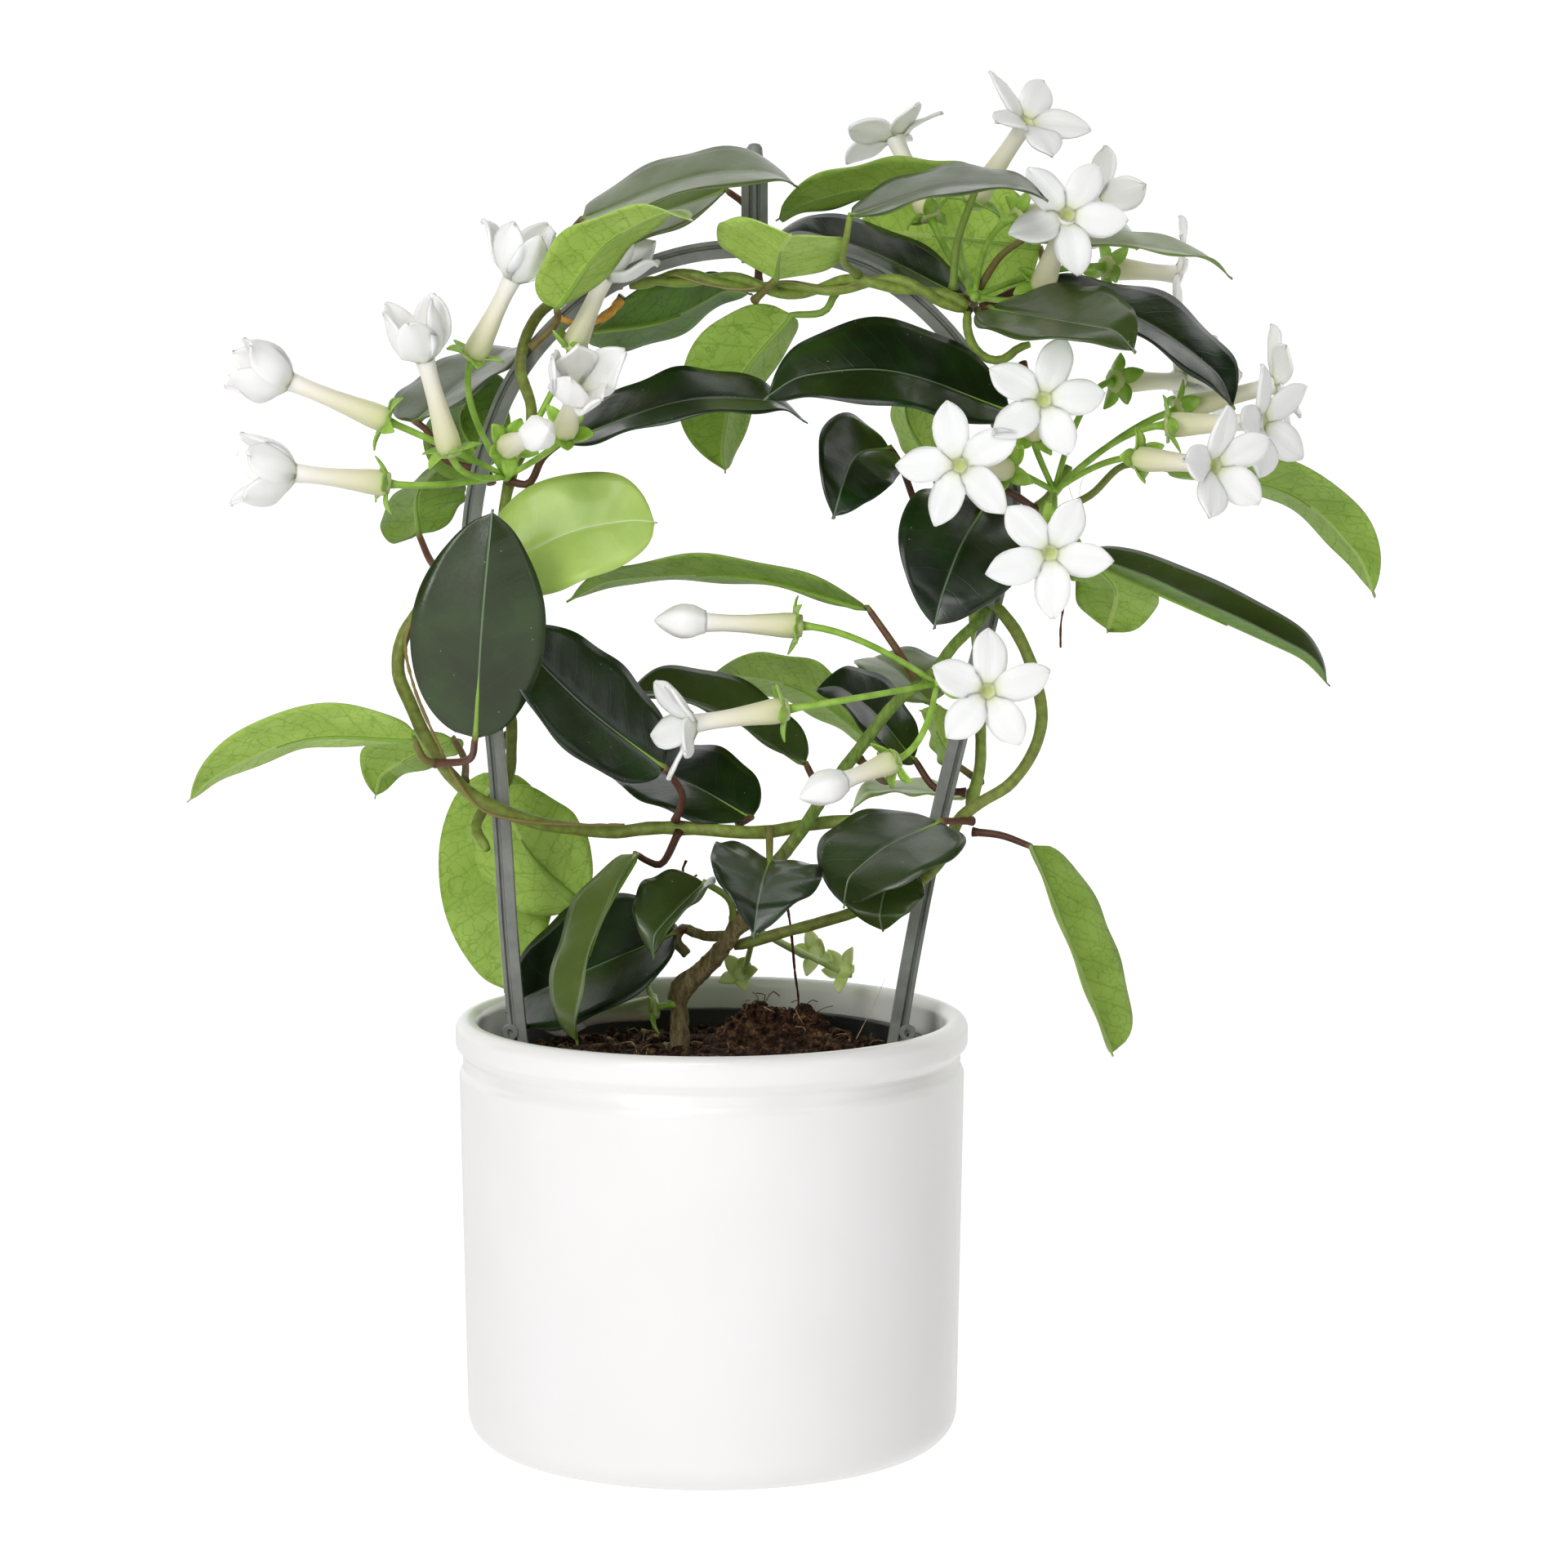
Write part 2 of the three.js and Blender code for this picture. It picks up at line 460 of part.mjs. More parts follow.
// ---------------------------------------------------------------- flowers
// Each cluster: its joint on the stem, then the flowers. A flower is the place of its green calyx, the
// mouth of its tube, how far the lobes are open (1 a flat star, 0.4 half open, 0 a closed bud) and,
// for a star, how far it turns from its tube's line towards the front, and its roll in degrees:
// the direction of its first lobe, clockwise from the top as one looks into it.
const CLUSTERS = {
  flowers_left: { joint: [-56, 268, -9], flowers: [
    [[-65, 300, -16], [-54, 322, -22], 0.4], [[-71, 274, -28], [-78, 300, -36], 0.4],
    [[-88, 283, -22], [-115, 294, -26], 0.4], [[-88, 266, -28], [-114, 269, -34], 0.4],
    [[-40, 280, -28], [-37, 291, -50], 0.4], [[-56, 276, -26], [-49, 279, -46], 0],
    [[-38, 302, -8], [-29, 322, -7], 0.2],
  ] },
  flowers_top: { joint: [72, 317, -13], flowers: [
    [[60, 338, 19], [50, 360, 27], 0.9, 0, 20], [[71, 342, 16], [86, 366, 4], 0.85, 0.15, -30],
    [[90, 319, -8], [97, 339, -24], 1, 0.75, 30], [[83, 338, 10], [105, 342, 26], 0.8, 0, 0],
    [[107, 325, 22], [127, 323, 38], 1, 0.4, 18],
  ] },
  flowers_right: { joint: [94, 264, -8], flowers: [
    [[88, 280, -16], [91, 289, -42], 1, 0.5, 15], [[81, 270, -18], [68, 271, -42], 1, 0.5, -15],
    [[110, 294, 8], [128, 294, 28], 0.4, 0, 0], [[127, 286, -2], [154, 293, 4], 0.9, 0.1, 20],
    [[124, 282, -16], [151, 283, -18], 0.9, 0.4, -15],
    [[116, 273, -26], [138, 271, -42], 0.75, 0.28, -10], [[94, 253, -24], [93, 247, -50], 1, 0.5, 31],
  ] },
  flowers_middle: { joint: [62, 211, -12], flowers: [
    [[71, 209, -26], [76, 209, -52], 1, 0.5, 6], [[21, 204, -38], [-5, 200, -44], 0.64, 0.06, -36],
    [[25, 227, -20], [-2, 228, -22], 0], [[51, 190, -30], [36, 184, -38], 0],
  ] },
  flower_low: { joint: [-14, 122, 0], flowers: [[[-19, 121, 2], [-36, 118, 8], 0]] },
  young_cluster: { joint: [12, 143, 9], flowers: [
    [[8, 130, 40], [8, 134, 30], 0], [[29, 136, 44], [27, 140, 34], 0],
    [[37, 131, 40], [31, 135, 30], 0],
  ] },
};
const FLOWER_SIDES = LOBES * 2;

// A ring round the flower's axis with one radius and height at the lobes and another in the notches.
function starRing(frame, height, lobe, notch) {
  return {
    ...frame,
    height,
    rim: (turn) => {
      const step = Math.round((turn / (2 * Math.PI)) * FLOWER_SIDES);
      const [radius, rise] = step % 2 === 0 ? lobe : notch;
      return [radius * Math.sin(turn), radius * Math.cos(turn), height + rise];
    },
  };
}

function flower(joint, [calyxAt, mouthAt, open, tilt = 0, roll = 0]) {
  const start = at(joint);
  const calyx = at(calyxAt);
  const mouth = at(mouthAt);
  const axis = mouth.clone().sub(calyx);
  const tube = axis.length();
  axis.normalize();
  const reach = start.distanceTo(calyx);
  const stalkEnd = calyx.clone().addScaledVector(axis, -STALK_BEND * reach);
  const stalk = new THREE.QuadraticBezierCurve3(start, stalkEnd, calyx).getPoints(3);
  const limb = axis.clone().lerp(sideways, tilt).normalize();
  const first = skyward.clone().addScaledVector(limb, -limb.z).normalize();
  first.applyAxisAngle(limb, THREE.MathUtils.degToRad(-roll));
  const line = frames([...stalk, mouth, mouth.clone().add(limb)], first, 5);
  const face = { ...line[5], centre: mouth };
  const head = { ...line[4], centre: calyx };

  const rings = line.slice(0, 3).map((frame) => ({ ...frame, rim: round(FLOWER_STALK_R) }));
  rings.push(starRing(head, 0, [CALYX_FOOT_R, 0], [CALYX_FOOT_R, 0]));
  rings.push(starRing(head, SEPAL_Z, [SEPAL_R, 0], [TUBE_BASE_R, 0]));
  rings.push(starRing(head, CALYX_HEIGHT, [TUBE_BASE_R, 0], [TUBE_BASE_R, 0]));
  rings.push(starRing(head, tube * TUBE_NECK_PART, [TUBE_NECK_R, 0], [TUBE_NECK_R, 0]));
  if (open === 0) {
    rings.push(starRing(face, 0, [BUD_R, 0], [BUD_SEAM_R, 0]));
    rings.push(starRing(face, BUD_LENGTH / 2, [BUD_R, 0], [BUD_SEAM_R, 0]));
    rings.push(starRing(face, BUD_LENGTH, [BUD_TIP_R, 0], [BUD_TIP_R, 0]));
    return skin(rings, FLOWER_SIDES);
  }
  const spread = open * (Math.PI / 2);
  const along = (part, offset) => [
    LOBE_ROOT_R + LOBE_LENGTH * part * Math.sin(spread) - offset * Math.cos(spread),
    LOBE_LENGTH * part * Math.cos(spread) + offset * Math.sin(spread),
  ];
  const half = LOBE_THICKNESS / 2;
  rings.push(starRing(face, 0, [MOUTH_R, 0], [MOUTH_NOTCH_R, 0]));
  rings.push(starRing(face, 0, along(LOBE_MIDDLE, -half), along(NOTCH_DEPTH, -half)));
  rings.push(starRing(face, 0, along(1, 0), along(NOTCH_DEPTH, 0)));
  rings.push(starRing(face, 0, along(LOBE_MIDDLE, half), along(NOTCH_DEPTH * 0.6, half)));
  return skin(rings, FLOWER_SIDES);
}

function cluster({ joint, flowers }) {
  const knob = new THREE.SphereGeometry(KNOB_R, 6, 4);
  const place = at(joint);
  let body = solid(knob.translate(place.x, place.y, place.z));
  flowers.forEach((row) => {
    body = body.add(solid(flower(joint, row)));
  });
  return geometryOf(body);
}

// ---------------------------------------------------------------- the assembled plant
const plant = new THREE.Group();

function addPart(name, geometry, colour, roughness, metalness = 0) {
  const material = new THREE.MeshStandardMaterial({ color: colour, roughness, metalness });
  const mesh = new THREE.Mesh(geometry, material);
  mesh.name = name;
  plant.add(mesh);
}

const trunkStops = TRUNK_LINE.map(at);
const hoopRoom = solid(hoopBar(GAP));
const trunkHoleR = TRUNK_R + TRUNK_GAP;
const trunkRoom = solid(stem(trunkStops.slice(0, 3), trunkHoleR, trunkHoleR));
const soil = geometryOf(solid(soilBlock()).subtract(hoopRoom).subtract(trunkRoom));

addPart('cover_pot', coverPot(), '#f3f1f1', 0.18);
addPart('grow_pot', growPot(), '#1b1b1c', 0.5);
addPart('soil', soil, '#2b1a12', 0.95);
addPart('support_hoop', supportHoop(), '#8c8e8a', 0.45);
Object.entries(VINES).forEach(([name, runs]) => {
  const wood = name === 'trunk';
  const bodies = runs.map((stops, i) => {
    const startR = wood && i === 0 ? TRUNK_R : VINE_R;
    return solid(stem(stops.map(at), startR, VINE_R));
  });
  const joined = bodies.reduce((whole, next) => whole.add(next));
  addPart(name, geometryOf(joined), wood ? '#6d5236' : '#5f8a30', wood ? 0.8 : 0.5);
});
const darkLeaf = new THREE.Color('#24381a');
const lightLeaf = new THREE.Color('#8fb54a');
Object.entries(LEAVES).forEach(([name, rows]) => {
  const bodies = rows.map((row) => solid(leaf(row, rows.length === 1)));
  const joined = bodies.reduce((whole, next) => whole.add(next));
  const tone = rows[0][7];
  addPart(`leaf_${name}`, geometryOf(joined), darkLeaf.clone().lerp(lightLeaf, tone), 0.4);
});
Object.entries(CLUSTERS).forEach(([name, row]) => addPart(name, cluster(row), '#f5f2ea', 0.45));

export default plant;
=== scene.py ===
"""A madagascar jasmine trained round a plastic hoop, standing in a glazed cover pot.

Lengths are metres. The plant's layout is written in millimetres, and at() turns it to metres.
"""
import math
import random
from functools import partial

import bmesh
import bpy
from mathutils import Matrix, Vector, noise


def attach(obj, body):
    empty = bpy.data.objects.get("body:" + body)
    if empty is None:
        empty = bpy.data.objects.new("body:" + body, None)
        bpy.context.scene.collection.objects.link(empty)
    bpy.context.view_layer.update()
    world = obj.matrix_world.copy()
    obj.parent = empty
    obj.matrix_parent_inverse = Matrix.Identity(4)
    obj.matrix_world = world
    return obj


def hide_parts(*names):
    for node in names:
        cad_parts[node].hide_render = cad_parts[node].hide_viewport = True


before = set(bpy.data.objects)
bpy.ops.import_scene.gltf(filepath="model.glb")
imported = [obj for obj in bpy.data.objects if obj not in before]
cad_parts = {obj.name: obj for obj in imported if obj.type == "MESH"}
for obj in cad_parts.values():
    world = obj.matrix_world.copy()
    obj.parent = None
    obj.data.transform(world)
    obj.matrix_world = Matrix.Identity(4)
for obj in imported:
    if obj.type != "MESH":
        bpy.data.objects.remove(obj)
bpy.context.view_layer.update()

MM = 0.001
chance = random.Random(7)

# ---------------------------------------------------------------- layout of the plant
# Each point is [across, up, back]: the first two are read on the upright sheet through the pot's
# axis as it is seen from EYE, and the third is how far behind (+) or before (-) that sheet the
# point lies on the same line of sight.
EYE = Vector((20, -1300, 336)) * MM
FRONT = Vector((0, -1, 0))
SKY = Vector((0, 0, 1))


def at(point):
    across, up, back = point
    on_sheet = Vector((across, 0, up)) * MM
    return EYE.lerp(on_sheet, 1 - back * MM / EYE.y)


def mix(a, b, part):
    return a + (b - a) * part


def ease(low, high, value):
    """0 below low, 1 above high and a smooth step between them."""
    part = min(max((value - low) / (high - low), 0), 1)
    return part * part * (3 - 2 * part)


def between(stops, place):
    """Reads a list of (place, value) stops, with straight lines between them."""
    for (p, a), (q, b) in zip(stops, stops[1:]):
        if place <= q:
            return mix(a, b, (place - p) / (q - p))
    return stops[-1][1]


# ---------------------------------------------------------------- runs and their frames
CURVE_PARTS = 12        # straight pieces between two stops, before they are spaced evenly


def curve_point(a, b, c, d, part):
    """A point between b and c on the centripetal curve through a, b, c and d."""
    t1 = (b - a).length ** 0.5
    t2 = t1 + (c - b).length ** 0.5
    t3 = t2 + (d - c).length ** 0.5
    t = mix(t1, t2, part)
    ab = a.lerp(b, t / t1)
    bc = b.lerp(c, (t - t1) / (t2 - t1))
    cd = c.lerp(d, (t - t2) / (t3 - t2))
    abc = ab.lerp(bc, t / t2)
    bcd = bc.lerp(cd, (t - t1) / (t3 - t1))
    return abc.lerp(bcd, (t - t1) / (t2 - t1))


def run(stops, step=None, count=None):
    """Evenly spaced points on a smooth curve through the stops, `count` or about `step` apart."""
    ends = [stops[0] * 2 - stops[1], *stops, stops[-1] * 2 - stops[-2]]
    fine = [
        curve_point(*four, i / CURVE_PARTS)
        for four in zip(ends, ends[1:], ends[2:], ends[3:])
        for i in range(CURVE_PARTS)
    ]
    fine.append(stops[-1])
    reach = [0.0]
    for p, q in zip(fine, fine[1:]):
        reach.append(reach[-1] + (q - p).length)
    count = count or max(2, round(reach[-1] / step))
    points = []
    k = 0
    for i in range(count + 1):
        goal = reach[-1] * i / count
        while k < len(fine) - 2 and reach[k + 1] < goal:
            k += 1
        points.append(fine[k].lerp(fine[k + 1], (goal - reach[k]) / (reach[k + 1] - reach[k])))
    return points


def length_of(points):
    return sum((q - p).length for p, q in zip(points, points[1:]))


def frames(points, up, start=0):
    """(centre, across, up, forward) at each point, turning as little as the run allows."""
    last = len(points) - 1
    ways = [(points[min(i + 1, last)] - points[max(i - 1, 0)]).normalized() for i in range(last + 1)]
    ups = {}
    for i in [*range(start, last + 1), *range(start - 1, -1, -1)]:
        near = up if i == start else ups[i - 1] if i > start else ups[i + 1]
        ups[i] = (near - ways[i] * near.dot(ways[i])).normalized()
    return [(points[i], ups[i].cross(ways[i]), ups[i], ways[i]) for i in range(last + 1)]


def seat(spot, wide, high):
    """The matrix that lays a unit shape on the XY plane across a frame of a run."""
    centre, across, up, forward = spot
    turn = Matrix((across, up, forward)).transposed().to_4x4()
    return Matrix.Translation(centre) @ turn @ Matrix.Diagonal((wide, high, (wide + high) / 2, 1))


# ---------------------------------------------------------------- mesh building
MAP_SIZE = 100 * MM     # one unit of a UV map on a blade


def new_mesh():
    bm = bmesh.new()
    bm.loops.layers.uv.new("UVMap")
    bm.verts.layers.float.new("age")
    bm.verts.layers.float.new("edge")
    bm.verts.layers.float_vector.new("out")
    return bm


def around(verts, kind):
    """The edges or faces at some vertices, each once and in the same order in every run."""
    return list(dict.fromkeys(part for vert in verts for part in getattr(vert, kind)))


def only(parts, kind):
    """The BMVert, BMEdge or BMFace parts of what an operator returns."""
    return [part for part in parts if isinstance(part, getattr(bmesh.types, kind))]


def paint(faces, material, smooth=True):
    for face in faces:
        face.material_index = material
        face.smooth = smooth


def sweep(bm, spots, radii, sides=8, material=0, ages=None, outline=None, smooth=True):
    """A closed bar: a ring laid on the first frame and extruded from frame to frame.

    A radius is a number or a pair (across, up). The outline is a list of points (across, up) of
    the ring, on a unit circle if it is left out. Returns the rings.
    """
    pairs = [r if isinstance(r, tuple) else (r, r) for r in radii]
    count = len(outline) if outline else sides
    ring = bmesh.ops.create_circle(bm, segments=count, radius=1)["verts"]
    if outline:
        for vert, (across, up) in zip(ring, outline):
            vert.co = (across, up, 0)
    bmesh.ops.transform(bm, matrix=seat(spots[0], *pairs[0]), verts=ring)
    edges = around(ring, "link_edges")
    faces = list(bmesh.ops.edgeloop_fill(bm, edges=edges)["faces"])
    rings = [ring]
    for k in range(1, len(spots)):
        grown = bmesh.ops.extrude_edge_only(bm, edges=edges)["geom"]
        ring = only(grown, "BMVert")
        faces += only(grown, "BMFace")
        edges = [edge for edge in only(grown, "BMEdge") if edge.is_boundary]
        step = seat(spots[k], *pairs[k]) @ seat(spots[k - 1], *pairs[k - 1]).inverted()
        bmesh.ops.transform(bm, matrix=step, verts=ring)
        rings.append(ring)
    faces += bmesh.ops.edgeloop_fill(bm, edges=edges)["faces"]
    for ring, age in zip(rings, ages or [0] * len(rings)):
        for vert in ring:
            vert[bm.verts.layers.float["age"]] = age
    paint(faces, material, smooth)
    bmesh.ops.recalc_face_normals(bm, faces=faces)
    return rings


def blade(bm, columns, rows, place, thickness, upper, lower):
    """A closed sheet with two faces: a grid laid by place(side, part), then given a thickness.

    side runs from -1 to 1 across and part from 0 to 1 along. place returns the point, its place on
    the map (across, along), the age and the edge value. upper and lower are the material numbers
    of the two faces. Returns all its vertices.
    """
    uv_layer = bm.loops.layers.uv["UVMap"]
    age_layer = bm.verts.layers.float["age"]
    edge_layer = bm.verts.layers.float["edge"]
    verts = bmesh.ops.create_grid(bm, x_segments=columns, y_segments=rows, size=1)["verts"]
    faces = around(verts, "link_faces")
    on_map = {}
    for vert in verts:
        spot, on_map[vert], age, edge = place(-vert.co.x, (vert.co.y + 1) / 2)
        vert.co = spot
        vert[age_layer] = age
        vert[edge_layer] = edge
    for face in faces:
        for loop in face.loops:
            across, along = on_map[loop.vert]
            loop[uv_layer].uv = (across / MAP_SIZE + 0.5, along / MAP_SIZE)
    bm.normal_update()
    out_layer = bm.verts.layers.float_vector["out"]
    for vert in verts:
        vert[out_layer] = vert.normal
    under = bmesh.ops.extrude_face_region(bm, geom=faces)["geom"]
    under_verts = only(under, "BMVert")
    under_faces = only(under, "BMFace")
    for vert in under_verts:
        vert.co -= vert[out_layer] * thickness
    inner = set(faces)
    walls = [face for face in around(verts, "link_faces") if face not in inner]
    paint(walls, upper)
    paint(faces, upper)
    paint(under_faces, lower)
    bmesh.ops.recalc_face_normals(bm, faces=[*faces, *under_faces, *walls])
    return [*verts, *under_verts]


def show(name, data):
    """Puts a mesh, lamp or camera into the scene."""
    thing = bpy.data.objects.new(name, data)
    bpy.context.scene.collection.objects.link(thing)
    return thing


def place_mesh(bm, name, materials):
    """Ends a bmesh as an object at the origin, with its place in its mesh."""
    bm.verts.layers.float_vector.remove(bm.verts.layers.float_vector["out"])
    mesh = bpy.data.meshes.new(name)
    bm.to_mesh(mesh)
    bm.free()
    for material in materials:
        mesh.materials.append(material)
    return show(name, mesh)


def finish_piece(bm, name, materials, nodes=()):
    """Makes the mesh a piece that rides on the part and stands for the CAD nodes."""
    piece = place_mesh(bm, name, materials)
    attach(piece, "root")
    if nodes:
        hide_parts(*nodes)
    return piece


# ---------------------------------------------------------------- materials
def linear(code):
    """An sRGB colour such as "#A0B0C0" as linear red, green, blue and alpha."""
    parts = [int(code[i:i + 2], 16) / 255 for i in (1, 3, 5)]
    return (*[c / 12.92 if c <= 0.04045 else ((c + 0.055) / 1.055) ** 2.4 for c in parts], 1)


def feed(node, inputs):
    """Gives each socket a value or the output that feeds it."""
    for socket, value in inputs.items():
        if isinstance(value, bpy.types.NodeSocket):
            node.id_data.links.new(value, node.inputs[socket])
        else:
            node.inputs[socket].default_value = value


def add(tree, kind, inputs, output=0, stops=(), **settings):
    """Adds a node and returns one of its outputs. stops are a colour ramp's (place, colour) pairs."""
    node = tree.nodes.new("ShaderNode" + kind)
    for name, value in settings.items():
        setattr(node, name, value)
    feed(node, inputs)
    if stops:
        marks = node.color_ramp.elements
        while len(marks) < len(stops):
            marks.new(0.5)
        for mark, (place, code) in zip(marks, stops):
            mark.position = place
            mark.color = linear(code)
    return node.outputs[output]


def surface(name, recipe, *values):
    """A material. The recipe is given add() for its nodes, and returns what the shader's sockets get."""
    material = bpy.data.materials.new(name)
    material.use_nodes = True
    feed(material.node_tree.nodes["Principled BSDF"], recipe(partial(add, material.node_tree), *values))
    return material


# Settings that several nodes share.
PLUS = {"operation": "ADD"}
MINUS = {"operation": "SUBTRACT"}
TIMES = {"operation": "MULTIPLY"}
COLOURS = {"data_type": "RGBA"}
SMOOTH = {"interpolation_type": "SMOOTHSTEP"}
FALLING = {"To Min": 1, "To Max": 0}    # 1 within a line, 0 outside it
AGE = {"attribute_name": "age"}         # 0 old and dark, 1 young and light


def grain(node, size, detail=3, vector=None, roughness=0.5):
    """A noise pattern with grains of about `size` metres, on Object coordinates unless told otherwise."""
    if vector is None:
        vector = node("TexCoord", {}, "Object")
    pattern = {"Vector": vector, "Scale": 1 / size, "Detail": detail, "Roughness": roughness}
    return node("TexNoise", pattern, "Fac")


def glaze(node):
    """Glazed stoneware, dipped: clean white, an even soft gloss, a faint waviness of the coat."""
    tone = node("ValToRGB", {"Fac": grain(node, 30 * MM, 2)}, stops=[(0.3, "#F4F2F1"), (0.7, "#F6F4F4")])
    wavy = node("Bump", {"Strength": 0.6, "Distance": 0.05 * MM, "Height": grain(node, 9 * MM, 2)})
    return {"Base Color": tone, "Normal": wavy, "Roughness": 0.24, "IOR": 1.5}


def black_plastic(node):
    """Thermoformed polypropylene: thin black sheet, slightly dusty, with a dull gloss."""
    dust = grain(node, 6 * MM, 5)
    tone = node("ValToRGB", {"Fac": dust}, stops=[(0.4, "#0D0D0E"), (0.75, "#2A2826")])
    rough = node("MapRange", {"Value": dust, "To Min": 0.35, "To Max": 0.7})
    fine = node("Bump", {"Strength": 1, "Distance": 0.08 * MM, "Height": grain(node, 1.2 * MM)})
    return {"Base Color": tone, "Roughness": rough, "Normal": fine, "IOR": 1.49}


def grey_plastic(node):
    """Moulded polypropylene: cool mid grey, satin, with fine drag lines and small scuffs."""
    scuff = grain(node, 5 * MM, 6)
    tone = node("ValToRGB", {"Fac": scuff}, stops=[(0.3, "#777A75"), (0.55, "#82857F"), (0.8, "#8E918B")])
    rough = node("MapRange", {"Value": scuff, "To Min": 0.32, "To Max": 0.55})
    fine = node("Bump", {"Strength": 1, "Distance": 0.05 * MM, "Height": grain(node, 0.6 * MM, 4)})
    return {"Base Color": tone, "Roughness": rough, "Normal": fine, "IOR": 1.49}


def peat(node):
    """Peat substrate: near black and red brown lumps, rough and without gloss."""
    lumps = grain(node, 2.6 * MM, 6, roughness=0.68)
    tone = node("ValToRGB", {"Fac": lumps}, stops=[
        (0.34, "#100A08"), (0.5, "#3F2B20"), (0.6, "#7A593F"), (0.74, "#BB9C74"),
    ])
    crumbly = grain(node, 1.1 * MM, 8, roughness=0.7)
    relief = node("Bump", {"Strength": 1, "Distance": 1.2 * MM, "Height": crumbly})
    return {"Base Color": tone, "Normal": relief, "Roughness": 0.95, "Specular IOR Level": 0.2}


def fibre(node):
    """Coconut and root fibre: dry, from straw to red brown."""
    tone = node("ValToRGB", {"Fac": node("Attribute", {}, "Fac", **AGE)}, stops=[
        (0.0, "#3A1D12"), (0.45, "#6E4429"), (0.75, "#8F7A4C"), (1.0, "#D9C3A0"),
    ])
    relief = node("Bump", {"Strength": 1, "Distance": 0.1 * MM, "Height": grain(node, 0.5 * MM)})
    return {"Base Color": tone, "Normal": relief, "Roughness": 0.8, "Specular IOR Level": 0.3}


def yellowed_stalk(node):
    """Ripe leaf stalk about to drop: translucent orange yellow, waxy."""
    tone = node("ValToRGB", {"Fac": grain(node, 3 * MM)}, stops=[(0.35, "#D08E2E"), (0.65, "#EDBF5C")])
    return {"Base Color": tone, "Roughness": 0.45, "IOR": 1.42}


def perlite(node):
    """Perlite and bark chips: pale, dry, chalky."""
    tone = node("ValToRGB", {"Fac": grain(node, 1.5 * MM)}, stops=[(0.35, "#8F7452"), (0.6, "#C9B48E")])
    relief = node("Bump", {"Strength": 1, "Distance": 0.3 * MM, "Height": grain(node, 0.7 * MM, 4)})
    return {"Base Color": tone, "Normal": relief, "Roughness": 0.9}


def stem(node):
    """Living stem: smooth green skin, browner and duller where it is older."""
    age = node("Attribute", {}, "Fac", **AGE)
    streak = node("Math", {0: grain(node, 2.2 * MM, 4), 1: 0.5}, **MINUS)
    streak = node("Math", {0: streak, 1: 0.7}, **TIMES)
    shifted = node("Math", {0: age, 1: streak}, **PLUS)
    tone = node("ValToRGB", {"Fac": shifted}, stops=[
        (0.0, "#4A3322"), (0.22, "#65492C"), (0.42, "#6A5F2E"), (0.6, "#747B36"), (0.8, "#82973F"),
        (1.0, "#92AE45"),
    ])
    rough = node("MapRange", {"Value": shifted, "To Min": 0.75, "To Max": 0.38})
    relief = node("Bump", {"Strength": 0.7, "Distance": 0.18 * MM, "Height": grain(node, 0.8 * MM, 5)})
    return {"Base Color": tone, "Roughness": rough, "Normal": relief, "IOR": 1.42}


def bark(node):
    """Corky bark of the old stem: grey brown, cracked lengthways, dull."""
    coords = node("TexCoord", {}, "Object")
    upright = node("Mapping", {"Vector": coords, "Scale": (1, 1, 0.35)})
    cracks = grain(node, 1.4 * MM, 6, upright, 0.65)
    brown = node("ValToRGB", {"Fac": cracks}, stops=[(0.3, "#54452D"), (0.5, "#85744F"), (0.7, "#AEA27A")])
    green = node("ValToRGB", {"Fac": cracks}, stops=[(0.3, "#546B2C"), (0.7, "#85A04A")])
    age = node("Attribute", {}, "Fac", **AGE)
    tone = node("Mix", {0: age, 6: brown, 7: green}, 2, **COLOURS)
    relief = node("Bump", {"Strength": 1, "Distance": 0.7 * MM, "Height": cracks})
    return {"Base Color": tone, "Normal": relief, "Roughness": 0.85, "Specular IOR Level": 0.3}


SIDE_VEIN_SPACING = 6.5 * MM
SIDE_VEIN_SLOPE = 0.62        # how far along a side vein runs for each step outwards
NET_CELL = 3.8 * MM
DUST_SPACING = 2.6 * MM       # between the pale specks of dust and lime on the upper skin


def leaf_maps(node):
    """Places on a blade: the map itself, metres from the midrib, and how near a side vein is."""
    coords = node("UVMap", {}, uv_map="UVMap")
    parts = node("SeparateXYZ", {0: coords}).node.outputs
    from_rib = node("Math", {0: node("Math", {0: parts[0], 1: 0.5}, **MINUS)}, operation="ABSOLUTE")
    across = node("Math", {0: from_rib, 1: MAP_SIZE}, **TIMES)
    along = node("Math", {0: parts[1], 1: MAP_SIZE}, **TIMES)
    wander = node("TexNoise", {"Vector": coords, "Scale": MAP_SIZE / (9 * MM), "Detail": 1}, "Fac")
    swing = node("Math", {0: node("Math", {0: wander, 1: 0.5}, **MINUS), 1: 3.5 * MM}, **TIMES)
    lead = node("Math", {0: node("Math", {0: across, 1: -SIDE_VEIN_SLOPE}, **TIMES), 1: swing}, **PLUS)
    path = node("Math", {0: along, 1: lead}, **PLUS)
    turns = node("Math", {0: path, 1: SIDE_VEIN_SPACING}, operation="DIVIDE")
    return coords, across, node("Math", {0: turns, 1: 0.5}, operation="PINGPONG")


def over(node, skin, colour, mask, strength):
    """Lays a colour over the skin where the mask is, at some strength."""
    part = node("Math", {0: mask, 1: strength}, **TIMES)
    return node("Mix", {0: part, 6: skin, 7: colour}, 2, **COLOURS)


